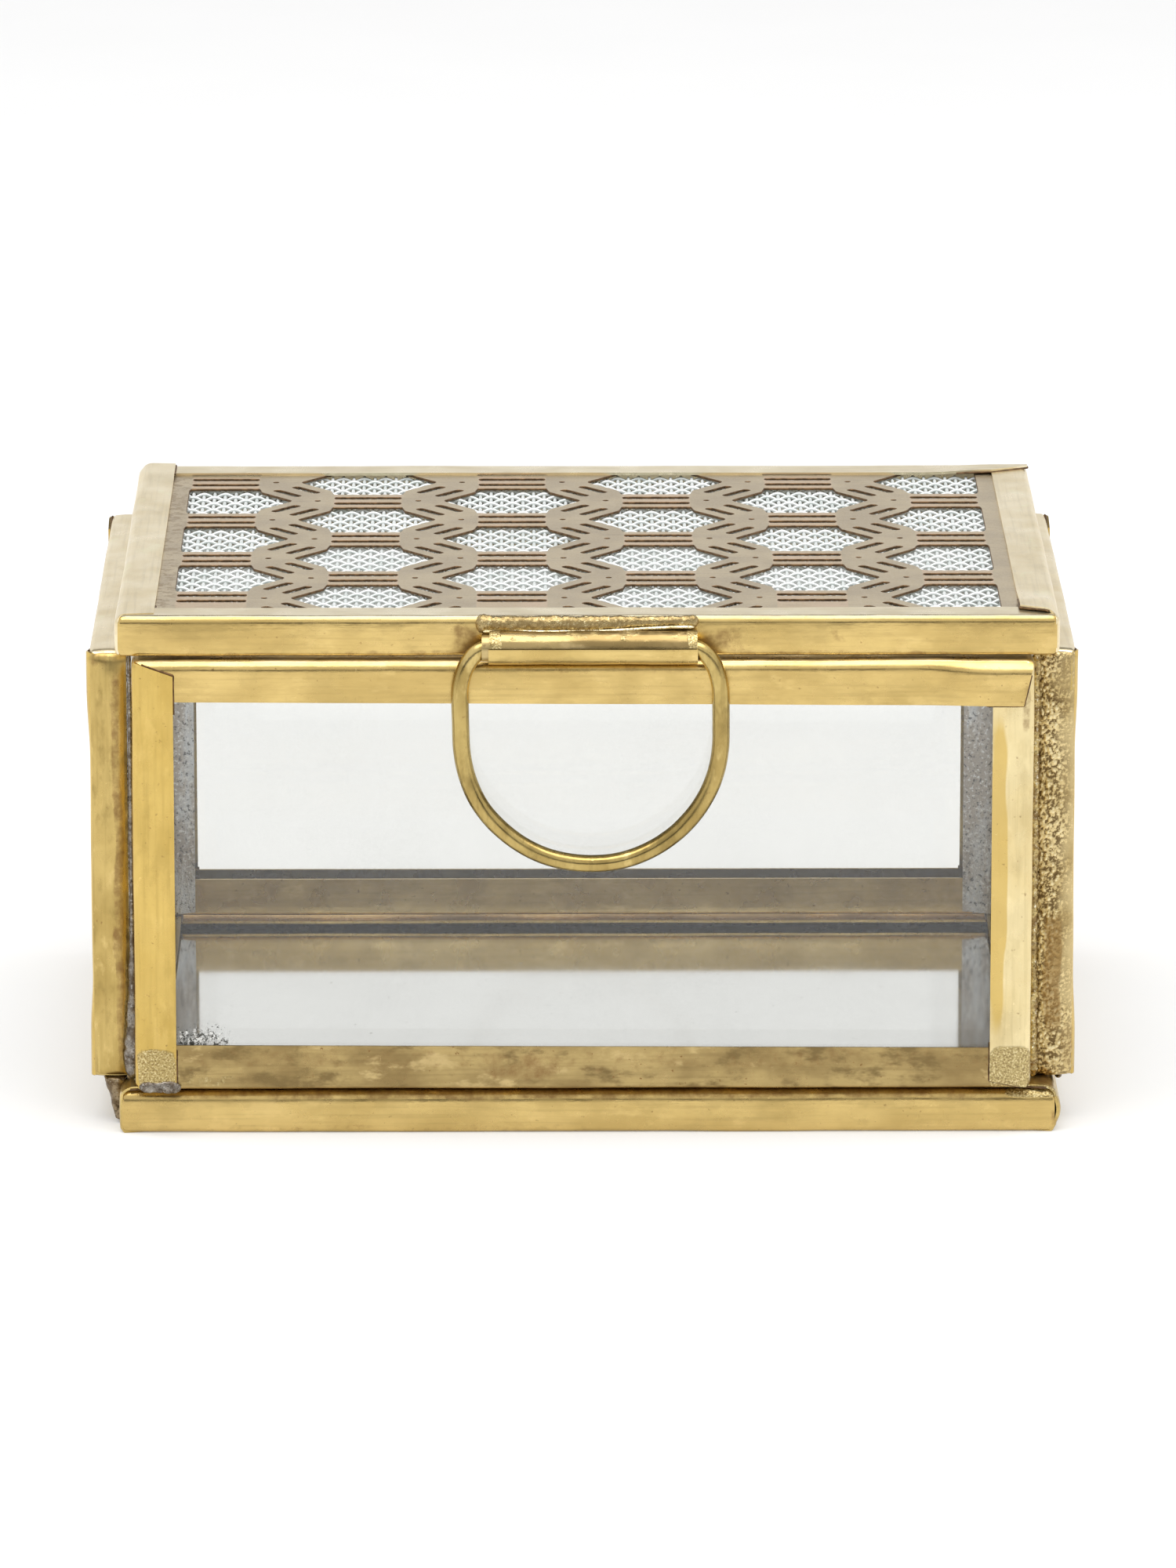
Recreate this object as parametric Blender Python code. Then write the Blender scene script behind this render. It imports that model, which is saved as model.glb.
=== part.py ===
"""Brass and glass trinket box with a pierced, hinged lid and a drop ring pull.

Every wall of the box, its base and its lid is a pane bound in a folded brass channel.
+X runs along the front from left to right, +Y from front to back, +Z up.
The origin is under the middle of the box, on the surface it stands on.
"""
import math

import bmesh
import bpy
from mathutils import Matrix, Vector, geometry

MM = 0.001

# Overall sizes of the bound panels.
CHANNEL = 4.6 * MM           # thickness of a bound panel, the channel's outside width
FACE = 4.6 * MM              # how far the channel's flanges reach over a pane
SHEET = 0.4 * MM             # brass sheet
BEND = 0.55 * MM             # outside radius of the channel's folds
GAP = 0.3 * MM               # space between pieces that touch
PANEL_WIDTH = 100.0 * MM     # front and back panels, along X
PANEL_HEIGHT = 49.2 * MM     # all four walls
BOX_DEPTH = 80.0 * MM        # front face of the front panel to back face of the back panel
LID_WIDTH = 104.6 * MM
LID_DEPTH = 78.0 * MM
LID_FACE = 4.3 * MM
BASE_WIDTH = 104.9 * MM
BASE_THICKNESS = 5.0 * MM
LID_OFFSET = 0.5 * MM        # the hand-set lid, base and pull sit a little to the right
BASE_OFFSET = 0.6 * MM
PULL_OFFSET = 0.8 * MM

# Panes and what lies in the lid.
PANE = 3.0 * MM
LID_PANE = 2.0 * MM
GAUZE = 0.4 * MM             # woven wire, over both wires
FRETWORK = 0.4 * MM
LEAF_GAP = 0.2 * MM          # between the layers in the lid's channel
PANE_CHAMFER = 0.25 * MM

# Fretwork pattern: columns of six-sided openings, joined by slotted bars and links.
COLUMN_PITCH = 16.74 * MM
ROW_PITCH = 19.85 * MM
COLUMNS = 6
OPENING_FLAT = 3.97 * MM     # half the length of an opening's level edges
OPENING_HALF_HEIGHT = 6.56 * MM
JOG_HALF_WIDTH = 4.3 * MM
JOG_HALF_HEIGHT = 4.6 * MM
TIP_HALF_WIDTH = 7.8 * MM
TIP_HALF_HEIGHT = 0.3 * MM
PATTERN_HALF_WIDTH = 46.0 * MM
PATTERN_HALF_DEPTH = 37.0 * MM
PATTERN_SHIFT = 1.2 * MM     # of the whole pattern towards the back of the plate
BAR_SLOT_LENGTH = 7.7 * MM
BAR_SLOT_WIDTH = 1.2 * MM
LINK_SLOT_LENGTH = 4.4 * MM
LINK_SLOT_WIDTH = 0.95 * MM
LINK_SLOPE = math.radians(50.0)
SLOT_OFFSET = 1.4 * MM       # of each slot from the middle of its bar or link

# Hinge: tube knuckles on the box, a rolled leaf on the lid, a wire pin through all three.
PIN_RADIUS = 0.85 * MM
PIN_CLEARANCE = 0.07 * MM
KNUCKLE_RADIUS = 1.35 * MM
LEAF_HALF_LENGTH = 8.0 * MM
KNUCKLE_LENGTH = 11.7 * MM
PIN_OVERHANG = 1.0 * MM
LEAF_RISE = 3.75 * MM        # top of the leaf's tail above the hinge's axis

# Ring pull: a rolled barrel on the lid's front edge, with a D-shaped wire ring in it.
WIRE_RADIUS = 0.9 * MM
BARREL_RADIUS = 1.85 * MM
BARREL_HALF_LENGTH = 11.7 * MM
BARREL_DROP = 3.1 * MM       # barrel's axis below the lid's top
BARREL_TAIL = 2.4 * MM       # tail's top above the barrel's axis
RING_HALF_WIDTH = 14.4 * MM
RING_SHOULDER = 5.5 * MM     # height of the bends at the ring's top corners
RING_BAR_HALF = 11.2 * MM
RING_SIDE = 10.2 * MM        # barrel's axis down to the centre of the ring's round foot

ROUND_SIDES = 24
ROUNDING = 0.001 * MM

# Heights and depths worked out from the sizes above.
WALL_BOTTOM = BASE_THICKNESS + GAP
WALL_TOP = WALL_BOTTOM + PANEL_HEIGHT
LID_BOTTOM = WALL_TOP + GAP
LID_TOP = LID_BOTTOM + CHANNEL
FRONT = -BOX_DEPTH / 2
BACK = BOX_DEPTH / 2
LID_FRONT = -LID_DEPTH / 2
LID_BACK = LID_DEPTH / 2
SIDE_DEPTH = BOX_DEPTH - 2 * (CHANNEL + GAP)
SIDE_INNER = PANEL_WIDTH / 2 + GAP
WALL_MIDDLE = (WALL_BOTTOM + WALL_TOP) / 2
HINGE_Y = BACK + GAP + KNUCKLE_RADIUS
HINGE_Z = (WALL_TOP + LID_BOTTOM) / 2
BARREL_Y = LID_FRONT - GAP - BARREL_RADIUS
BARREL_Z = LID_TOP - BARREL_DROP


def material(name, colour, metallic, roughness, transmission=0.0):
    """A Principled material with plain values."""
    made = bpy.data.materials.new(name)
    made.use_nodes = True
    shader = made.node_tree.nodes["Principled BSDF"]
    shader.inputs["Base Color"].default_value = (*colour, 1.0)
    shader.inputs["Metallic"].default_value = metallic
    shader.inputs["Roughness"].default_value = roughness
    shader.inputs["Transmission Weight"].default_value = transmission
    return made


def node(name, mesh_maker, look, place=None, parent=None, smooth=False):
    """One named piece made from a bmesh. place is where it stands in the world."""
    mesh = bpy.data.meshes.new(name)
    bmesh.ops.recalc_face_normals(mesh_maker, faces=mesh_maker.faces)
    mesh_maker.to_mesh(mesh)
    mesh_maker.free()
    piece = bpy.data.objects.new(name, mesh)
    bpy.context.scene.collection.objects.link(piece)
    mesh.materials.append(look)
    if smooth:
        mesh.shade_smooth()
        mesh.set_sharp_from_angle(angle=math.radians(35))
    placed = place or Matrix.Identity(4)
    if parent:
        piece.parent = parent
        placed = Matrix.Translation(-parent.location) @ placed
    piece.matrix_local = placed
    return piece


def pivot(name, location):
    """An empty on a joint's axis, which the moving pieces hang from."""
    empty = bpy.data.objects.new(name, None)
    bpy.context.scene.collection.objects.link(empty)
    empty.location = location
    return empty


def bridge_sections(shape, sections, closed_loop):
    """Faces between successive rings of vertices, with end caps unless the rings close up."""
    count = len(sections)
    for index in range(count if closed_loop else count - 1):
        ring = sections[index]
        following = sections[(index + 1) % count]
        for side in range(len(ring)):
            after = (side + 1) % len(ring)
            shape.faces.new((ring[side], ring[after], following[after], following[side]))
    if not closed_loop:
        shape.faces.new(sections[0])
        shape.faces.new(sections[-1])


def channel_profile(face, thickness):
    """The channel's section as (distance in from the panel's edge, height) points."""
    half = thickness / 2
    quarter = [math.radians(90 * step / 3) for step in range(4)]
    lower = [(BEND - BEND * math.cos(a), -half + BEND - BEND * math.sin(a)) for a in quarter]
    inside = [(face, -half), (face, -half + SHEET), (SHEET, -half + SHEET)]
    left_side = lower + inside
    return left_side + [(across, -height) for across, height in reversed(left_side)]


def channel_frame(width, height, face=FACE, thickness=CHANNEL):
    """A rectangle of brass channel, open side inwards, lying in XY about its centre."""
    shape = bmesh.new()
    corners = []
    for right, up in ((-1, -1), (1, -1), (1, 1), (-1, 1)):
        corners.append([
            shape.verts.new((right * (width / 2 - inward), up * (height / 2 - inward), level))
            for inward, level in channel_profile(face, thickness)
        ])
    bridge_sections(shape, corners, True)
    return shape


def slab(width, height, thickness, chamfer=PANE_CHAMFER):
    """A flat pane with chamfered edges, lying in XY about its centre."""
    shape = bmesh.new()
    bmesh.ops.create_cube(shape, size=1.0)
    bmesh.ops.scale(shape, vec=(width, height, thickness), verts=shape.verts)
    bmesh.ops.bevel(shape, geom=shape.edges[:], offset=chamfer, segments=1, affect="EDGES")
    return shape


def prism(outline, start, end):
    """A (Y, Z) outline drawn out along X from start to end."""
    shape = bmesh.new()
    ends = [[shape.verts.new((x, y, z)) for y, z in outline] for x in (start, end)]
    bridge_sections(shape, ends, False)
    return shape


def tube(radius, bore, start, end):
    """A round tube along X, about the X axis."""
    shape = bmesh.new()
    sections = []
    for size, x in ((radius, start), (radius, end), (bore, end), (bore, start)):
        turns = [2 * math.pi * step / ROUND_SIDES for step in range(ROUND_SIDES)]
        sections.append([
            shape.verts.new((x, size * math.cos(a), size * math.sin(a))) for a in turns
        ])
    bridge_sections(shape, sections, True)
    return shape


def rolled_outline(path, thickness):
    """The closed outline of a strip of sheet that follows a (Y, Z) path along its middle."""
    points = [Vector(point) for point in path]
    left, right = [], []
    for index, point in enumerate(points):
        before = (point - points[index - 1]).normalized() if index else None
        after = (points[index + 1] - point).normalized() if index + 1 < len(points) else before
        before = before or after
        normal = Vector((-(before + after).y, (before + after).x)).normalized()
        straight = Vector((-before.y, before.x))
        reach = thickness / 2 / normal.dot(straight)
        left.append(point + normal * reach)
        right.append(point - normal * reach)
    return left + right[::-1]


def arc(centre, radius, start, end, steps):
    """Points on a circle in (Y, Z), angles in degrees from +Y towards +Z."""
    angles = [math.radians(start + (end - start) * step / steps) for step in range(steps + 1)]
    return [(centre[0] + radius * math.cos(a), centre[1] + radius * math.sin(a)) for a in angles]


def rectangle(centre, length, width, slope):
    """A slot's four corners, its length turned by slope from X."""
    along = Vector((math.cos(slope), math.sin(slope))) * length / 2
    across = Vector((-math.sin(slope), math.cos(slope))) * width / 2
    middle = Vector(centre)
    return [middle - along - across, middle + along - across,
            middle + along + across, middle - along + across]


def opening(centre):
    """A six-sided opening with short upright jogs beside its level edges."""
    right = [(OPENING_FLAT, -OPENING_HALF_HEIGHT), (JOG_HALF_WIDTH, -JOG_HALF_HEIGHT),
             (TIP_HALF_WIDTH, -TIP_HALF_HEIGHT), (TIP_HALF_WIDTH, TIP_HALF_HEIGHT),
             (JOG_HALF_WIDTH, JOG_HALF_HEIGHT), (OPENING_FLAT, OPENING_HALF_HEIGHT)]
    left = [(-x, -y) for x, y in right]
    return [Vector(centre) + Vector(point) for point in right + left]


def clip(outline, axis, limit, keep_below):
    """The part of an outline on one side of a line across the given axis."""
    kept = []
    sign = 1 if keep_below else -1
    for index, point in enumerate(outline):
        before = outline[index - 1]
        inside = sign * (limit - point[axis]) >= 0
        was_inside = sign * (limit - before[axis]) >= 0
        if inside != was_inside:
            kept.append(before.lerp(point, (limit - before[axis]) / (point[axis] - before[axis])))
        if inside:
            kept.append(point)
    return kept


def inside_pattern(outline):
    """Whether a whole outline lies in the pierced part of the plate."""
    half_width = PATTERN_HALF_WIDTH + ROUNDING
    half_depth = PATTERN_HALF_DEPTH + ROUNDING
    return all(abs(x) <= half_width and abs(y) <= half_depth for x, y in outline)


def fretwork_holes():
    """Every opening and slot of the fretwork, as outlines about the plate's centre."""
    holes = []
    columns = [(index - (COLUMNS - 1) / 2) * COLUMN_PITCH for index in range(COLUMNS)]
    for index, x in enumerate(columns):
        bar_shift = 0.0 if index % 2 else 0.5
        for row in range(-2, 3):
            middle = (x, (row + 0.5 + bar_shift) * ROW_PITCH + PATTERN_SHIFT)
            cut = opening(middle)
            for axis, limit in ((0, PATTERN_HALF_WIDTH), (1, PATTERN_HALF_DEPTH)):
                cut = clip(cut, axis, limit, True)
                cut = clip(cut, axis, -limit, False)
            if len(cut) > 3:
                holes.append(cut)
            bar_y = (row + bar_shift) * ROW_PITCH + PATTERN_SHIFT
            for side in (-1, 1):
                centre = (x, bar_y + side * SLOT_OFFSET)
                holes.append(rectangle(centre, BAR_SLOT_LENGTH, BAR_SLOT_WIDTH, 0.0))
    across = Vector((-math.sin(LINK_SLOPE), math.cos(LINK_SLOPE))) * SLOT_OFFSET
    for index in range(COLUMNS - 1):
        middle_x = (columns[index] + columns[index + 1]) / 2
        for row in range(-4, 5):
            rising = 1 if (row + index) % 2 else -1
            middle = Vector((middle_x, (row + 0.5) * ROW_PITCH / 2 + PATTERN_SHIFT))
            for side in (-1, 1):
                centre = middle + Vector((rising * across.x, across.y)) * side
                holes.append(
                    rectangle(centre, LINK_SLOT_LENGTH, LINK_SLOT_WIDTH, rising * LINK_SLOPE)
                )
    return [hole for hole in holes if inside_pattern(hole)]


def pierced_plate(width, depth, thickness, holes):
    """A flat plate with holes through it, lying in XY about its centre."""
    border = rectangle((0, 0), width, depth, 0.0)
    points, loops = [], []
    for outline in [border, *holes]:
        loops.append(range(len(points), len(points) + len(outline)))
        points += outline
    triangles_without_holes = 2
    verts, _, faces, *_ = geometry.delaunay_2d_cdt(
        points, [], loops, triangles_without_holes, 1e-7
    )
    shape = bmesh.new()
    made = [shape.verts.new((x, y, -thickness / 2)) for x, y in verts]
    for face in faces:
        shape.faces.new([made[index] for index in face])
    grown = bmesh.ops.extrude_face_region(shape, geom=shape.faces[:])
    top = [item for item in grown["geom"] if isinstance(item, bmesh.types.BMVert)]
    bmesh.ops.translate(shape, vec=(0, 0, thickness), verts=top)
    return shape


def ring_path():
    """The ring's middle line in (X, Z) about the barrel's axis, hanging straight down."""
    shoulder_steps, foot_steps = 6, 22
    shoulder_width = RING_HALF_WIDTH - RING_BAR_HALF
    right = []
    for step in range(shoulder_steps + 1):
        a = math.radians(90 * step / shoulder_steps)
        right.append((RING_BAR_HALF + shoulder_width * math.sin(a),
                      -RING_SHOULDER * (1 - math.cos(a))))
    foot = []
    for step in range(foot_steps + 1):
        a = math.pi * step / foot_steps
        foot.append((RING_HALF_WIDTH * math.cos(a), -RING_SIDE - RING_HALF_WIDTH * math.sin(a)))
    left = [(-x, z) for x, z in reversed(right)]
    return right + foot + left


def wire_ring(name, look, parent):
    """The closed wire ring, a bevelled curve about its parent's axis."""
    curve = bpy.data.curves.new(name, "CURVE")
    curve.dimensions = "3D"
    curve.bevel_depth = WIRE_RADIUS
    curve.bevel_resolution = 3
    path = ring_path()
    spline = curve.splines.new("POLY")
    spline.points.add(len(path) - 1)
    for point, (x, z) in zip(spline.points, path):
        point.co = (x, 0.0, z, 1.0)
    spline.use_cyclic_u = True
    curve.materials.append(look)
    ring = bpy.data.objects.new(name, curve)
    bpy.context.scene.collection.objects.link(ring)
    ring.parent = parent
    return ring


def bound_panel(name, width, height, place, looks):
    """A wall of the box: a glass pane in its brass channel."""
    pane_inset = 2 * (SHEET + GAP)
    node(name + "_channel", channel_frame(width, height), looks["brass"], place)
    pane = slab(width - pane_inset, height - pane_inset, PANE)
    node(name + "_glass", pane, looks["glass"], place)


def walls(looks):
    """The four glass walls, standing on the base and meeting only at their corners."""
    upright = Matrix.Rotation(math.radians(90), 4, "X")
    sideways = Matrix.Rotation(math.radians(90), 4, "Z") @ upright
    for name, y in (("front", FRONT + CHANNEL / 2), ("back", BACK - CHANNEL / 2)):
        place = Matrix.Translation((0, y, WALL_MIDDLE)) @ upright
        bound_panel(name, PANEL_WIDTH, PANEL_HEIGHT, place, looks)
    for name, side in (("left", -1), ("right", 1)):
        x = side * (SIDE_INNER + CHANNEL / 2)
        place = Matrix.Translation((x, 0, WALL_MIDDLE)) @ sideways
        bound_panel(name, SIDE_DEPTH, PANEL_HEIGHT, place, looks)


def base(looks):
    """The mirror that forms the floor of the box, in its channel."""
    place = Matrix.Translation((BASE_OFFSET, 0, BASE_THICKNESS / 2))
    inset = 2 * (SHEET + GAP)
    frame = channel_frame(BASE_WIDTH, LID_DEPTH, thickness=BASE_THICKNESS)
    node("base_channel", frame, looks["brass"], place)
    mirror = slab(BASE_WIDTH - inset, LID_DEPTH - inset, PANE)
    node("base_mirror", mirror, looks["mirror"], place)


def solder_joints(looks):
    """Solder in the upright notches between the walls, and tacks under the side walls."""
    seam, hollow = 1.5 * MM, 0.55 * MM
    tack_length, tack_width, tack_height = 8.0 * MM, 1.2 * MM, 1.0 * MM
    stand_up = Matrix.Rotation(math.radians(-90), 4, "Y")
    for side_name, side in (("left", -1), ("right", 1)):
        for end_name, end in (("front", -1), ("back", 1)):
            corner_x = PANEL_WIDTH / 2 + GAP
            corner_y = SIDE_DEPTH / 2 + GAP
            outline = [(corner_y, corner_x), (corner_y + seam, corner_x),
                       (corner_y + hollow, corner_x + hollow), (corner_y, corner_x + seam)]
            outline = [(end * y, -side * x) for y, x in outline]
            fillet = prism(outline, WALL_BOTTOM + GAP, WALL_TOP - GAP)
            node(f"corner_solder_{end_name}_{side_name}", fillet, looks["solder"], stand_up)
            edge = BASE_WIDTH / 2 + side * BASE_OFFSET + GAP
            under = WALL_BOTTOM - GAP
            tack = [(-side * edge, under), (-side * (edge + tack_width), under),
                    (-side * edge, under - tack_height)]
            tack_end = end * (SIDE_DEPTH / 2 - GAP)
            shape = prism(tack, tack_end - end * tack_length, tack_end)
            turn = Matrix.Rotation(math.radians(90), 4, "Z")
            node(f"base_solder_{end_name}_{side_name}", shape, looks["solder"], turn)


def hinge(looks, lid):
    """Two tube knuckles on the back wall, the lid's rolled leaf between them, and the pin."""
    bore = PIN_RADIUS + PIN_CLEARANCE
    axis = Matrix.Translation((0, HINGE_Y, HINGE_Z))
    fillet = [(GAP, -3.35 * MM), (1.3 * MM, -1.75 * MM), (0.75 * MM, -1.5 * MM),
              (GAP, -1.15 * MM)]
    fillet = [(BACK + y, HINGE_Z + z) for y, z in fillet]
    for name, side in (("left", -1), ("right", 1)):
        inner = side * (LEAF_HALF_LENGTH + GAP)
        outer = inner + side * KNUCKLE_LENGTH
        knuckle = tube(KNUCKLE_RADIUS, bore, inner, outer)
        node("hinge_knuckle_" + name, knuckle, looks["brass"], axis, smooth=True)
        bead = prism(fillet, inner + side * GAP, outer - side * GAP)
        node("hinge_solder_" + name, bead, looks["solder"])
    reach = LEAF_HALF_LENGTH + GAP + KNUCKLE_LENGTH + PIN_OVERHANG
    turns = [2 * math.pi * step / ROUND_SIDES for step in range(ROUND_SIDES)]
    pin = prism([(PIN_RADIUS * math.cos(a), PIN_RADIUS * math.sin(a)) for a in turns],
                -reach, reach)
    node("hinge_pin", pin, looks["brass"], axis, smooth=True)
    thickness = KNUCKLE_RADIUS - bore
    middle = bore + thickness / 2
    tail_y = LID_BACK + GAP + thickness / 2 - HINGE_Y
    path = [(tail_y, LEAF_RISE), (tail_y, middle), *arc((0, 0), middle, 90, -225, 21)]
    leaf = prism(rolled_outline(path, thickness), -LEAF_HALF_LENGTH, LEAF_HALF_LENGTH)
    node("hinge_leaf_lid", leaf, looks["brass"], axis, lid, smooth=True)
    low = HINGE_Z + LEAF_RISE + GAP
    near = LID_BACK + GAP
    bead = prism([(near, low), (near + 0.7 * MM, low), (near + 0.6 * MM, low + 0.3 * MM),
                  (near, low + 0.5 * MM)], -LEAF_HALF_LENGTH, LEAF_HALF_LENGTH)
    node("hinge_solder_lid", bead, looks["solder"], parent=lid)


def lid_panel(looks, lid):
    """The lid: glass, woven wire and the pierced plate, bound in one channel."""
    inset = 2 * (SHEET + GAP)
    width, depth = LID_WIDTH - inset, LID_DEPTH - inset
    middle = Matrix.Translation((LID_OFFSET, 0, (LID_BOTTOM + LID_TOP) / 2))
    frame = channel_frame(LID_WIDTH, LID_DEPTH, LID_FACE)
    node("lid_channel", frame, looks["brass"], middle, lid)
    level = LID_BOTTOM + SHEET + GAP
    place = Matrix.Translation((LID_OFFSET, 0, level + LID_PANE / 2))
    node("lid_glass", slab(width, depth, LID_PANE), looks["glass"], place, lid)
    level += LID_PANE + LEAF_GAP
    place = Matrix.Translation((LID_OFFSET, 0, level + GAUZE / 2))
    gauze = slab(width, depth, GAUZE, chamfer=0.1 * MM)
    node("lid_wire_mesh", gauze, looks["steel wire"], place, lid)
    level += GAUZE + LEAF_GAP
    place = Matrix.Translation((LID_OFFSET, 0, level + FRETWORK / 2))
    plate = pierced_plate(width, depth, FRETWORK, fretwork_holes())
    node("lid_fretwork", plate, looks["fretwork brass"], place, lid)


def ring_pull(looks, lid):
    """The barrel rolled from sheet, its line of solder, and the ring that swings in it."""
    middle = BARREL_RADIUS - SHEET / 2
    centre = (BARREL_Y, BARREL_Z)
    tail = (BARREL_Y + middle, BARREL_Z + BARREL_TAIL)
    path = [tail, *arc(centre, middle, 0, -305, 21)]
    left_end = PULL_OFFSET - BARREL_HALF_LENGTH
    right_end = PULL_OFFSET + BARREL_HALF_LENGTH
    barrel = prism(rolled_outline(path, SHEET), left_end, right_end)
    node("pull_barrel", barrel, looks["brass"], parent=lid, smooth=True)
    tail_front = BARREL_Y + BARREL_RADIUS - SHEET
    tail_back = BARREL_Y + BARREL_RADIUS
    low = BARREL_Z + BARREL_RADIUS + GAP
    high = BARREL_Z + BARREL_TAIL + GAP
    bead_front = tail_front - GAP - 0.7 * MM
    outline = [(bead_front, low), (tail_front - GAP, low), (tail_front - GAP, high),
               (tail_back, high), (tail_back, LID_TOP), (bead_front + 0.4 * MM, LID_TOP),
               (bead_front, LID_TOP - 0.3 * MM)]
    bead = prism(outline, left_end, right_end)
    node("pull_barrel_solder", bead, looks["solder"], parent=lid)
    swing = pivot("pull_axis", (PULL_OFFSET, BARREL_Y, BARREL_Z))
    wire_ring("pull_ring", looks["brass"], swing)


def main():
    for item in list(bpy.data.objects):
        bpy.data.objects.remove(item)
    looks = {
        "brass": material("brass", (0.60, 0.44, 0.16), 1.0, 0.34),
        "fretwork brass": material("fretwork brass", (0.55, 0.45, 0.31), 1.0, 0.42),
        "solder": material("solder", (0.38, 0.34, 0.24), 1.0, 0.5),
        "steel wire": material("steel wire", (0.72, 0.74, 0.75), 1.0, 0.4),
        "mirror": material("mirror", (0.9, 0.9, 0.9), 1.0, 0.03),
        "glass": material("glass", (0.95, 0.97, 0.96), 0.0, 0.02, transmission=1.0),
    }
    base(looks)
    walls(looks)
    solder_joints(looks)
    lid = pivot("lid_axis", (0, HINGE_Y, HINGE_Z))
    hinge(looks, lid)
    lid_panel(looks, lid)
    ring_pull(looks, lid)


main()
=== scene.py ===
"""Looks of a brass and glass trinket box with a pierced, hinged lid and a drop ring pull.

Every wall, the base and the lid is a pane bound in four strips of brass folded to a U.
Shapes are made in millimetres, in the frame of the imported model, and scaled when a mesh is made.
"""

import math

import bmesh
import bpy
import numpy as np
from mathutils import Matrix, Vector, geometry, noise


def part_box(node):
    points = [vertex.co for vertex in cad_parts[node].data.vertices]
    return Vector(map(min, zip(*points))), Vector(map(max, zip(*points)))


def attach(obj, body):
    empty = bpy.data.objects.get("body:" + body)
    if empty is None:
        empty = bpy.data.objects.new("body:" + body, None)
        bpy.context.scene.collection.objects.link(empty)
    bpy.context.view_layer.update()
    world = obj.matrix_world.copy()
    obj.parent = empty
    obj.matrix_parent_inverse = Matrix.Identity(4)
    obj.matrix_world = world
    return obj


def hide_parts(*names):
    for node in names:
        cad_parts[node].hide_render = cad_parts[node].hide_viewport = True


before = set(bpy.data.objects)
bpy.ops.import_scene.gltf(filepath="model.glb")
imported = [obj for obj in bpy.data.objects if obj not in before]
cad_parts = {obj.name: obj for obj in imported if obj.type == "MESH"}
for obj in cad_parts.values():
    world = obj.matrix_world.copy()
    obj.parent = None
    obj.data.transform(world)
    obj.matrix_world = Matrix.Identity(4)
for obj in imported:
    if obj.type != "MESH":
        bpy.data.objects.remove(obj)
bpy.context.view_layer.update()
MM = 0.001

# Folded strips.
SHEET = 0.3                  # brass sheet
LAP = 0.32                   # how far one strip's end stands off the strip under it
LAP_RAMP = 8.0               # length over which a lifted end settles down again
FLANGE_STEPS = 9
FOLD_STEPS = 8
WEB_STEPS = 10
STATIONS = 72
SEAM_OFFSET = 0.06           # painted shadow: a dark line beside a strip's end, where it lies on the next strip
SEAM_RADIUS = 0.11
SEAM_LENGTH = 4.7            # how far the line follows the strip's free edge

# Lid filling.
COLUMN_PITCH = 16.74
ROW_PITCH = 19.85
COLUMNS = 6
OPENING_FLAT = 3.97
OPENING_HALF_HEIGHT = 6.56
JOG_HALF_WIDTH = 4.3
JOG_HALF_HEIGHT = 4.6
TIP_HALF_WIDTH = 7.8
TIP_HALF_HEIGHT = 0.3
PATTERN_HALF_WIDTH = 46.0
PATTERN_HALF_DEPTH = 37.0
BAR_SLOT_LENGTH = 7.7
BAR_SLOT_WIDTH = 1.2
LINK_SLOT_LENGTH = 4.4
LINK_SLOT_WIDTH = 0.95
LINK_SLOPE = math.radians(50.0)
SLOT_OFFSET = 1.4
DOT_REACH = 5.85
DOT_RADIUS = 0.3
PLATE_BEVEL = 0.07
ROUNDING = 0.001
WARP_PITCH = 1.24            # between wires that run front to back
WEFT_PITCH = 1.66            # between wires that run left to right
MESH_WIRE = 0.205            # radius
MESH_WAVE = 0.2
MESH_SIDES = 6
MESH_STEPS = 7               # per wave
MESH_HALF_WIDTH = 49.0
MESH_HALF_DEPTH = 36.0
MESH_SHIFT = (0.35, 0.2, 0.0)
MESH_GAP = 0.03              # between the plate and the mesh
PLATE_THICKNESS = 0.25
PLATE_SINK = 0.05            # of the plate under the lid's folded strips
PATTERN_SHIFT = 1.2

# Ring pull and hinge.
WIRE_RADIUS = 0.9            # of the CAD ring, whose box gives the axis
RING_WIRE = 0.97
RING_HALF_WIDTH = 14.4
RING_SHOULDER = 5.5
RING_BAR_HALF = 11.2
RING_SIDE = 10.2

LAP_LEFT = 0.45              # from the CAD barrel's left end to the sheet lap's
LAP_RIGHT = 0.15             # past the CAD barrel's right end
LAP_RISE = (1.2, 0.6)        # heights above the axis where the lap's tail begins to bend
SHELL_EXTRA = 0.08           # the top shell is this much thicker than the sheet
TUBE_GAP = 0.06              # between the lap and the tube inside it
RUN_RADII = (0.74, 0.86)     # solder above the barrel
RIM_RADII = (0.30, 0.20)     # rim along that solder's foot, painted bright as its highlight
RIM_FORWARD = 0.62
PIN_DOME = 0.5               # length of the pin's domed ends
PIN_INSETS = (0.0, 0.1, 0.22, 0.36, 0.5)
PIN_SIDES = 24
HINGE_SHEET = 0.38
RING_SIDES = 20

# Camera and stage, in metres.
CAMERA_PLACE = (-0.00713, -1.1358, 0.3175)
CAMERA_TILT = 0.2476
CAMERA_ROLL = -0.007
LENS = 234.0
SENSOR_WIDTH = 36.0
FLOOR_REACH = 3.5
FLOOR_GLOW = 0.21            # lifts the floor to white around the box
WORLD_LIGHT = 0.95
CARD_SIZE = (1.6, 0.9)
CARD_PLACE = (0.0, -0.25, 1.1)
CARD_POWER = 13.0
FLAG_REACH = 2.5
FLAGS = (("flag_front", -2.3, 0.02, 0.62), ("flag_back", 2.6, 1.5, 4.6))


def box_mm(node):
    """A CAD node's lowest and highest corners in millimetres."""
    low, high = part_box(node)
    return np.array(low) / MM, np.array(high) / MM


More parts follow.
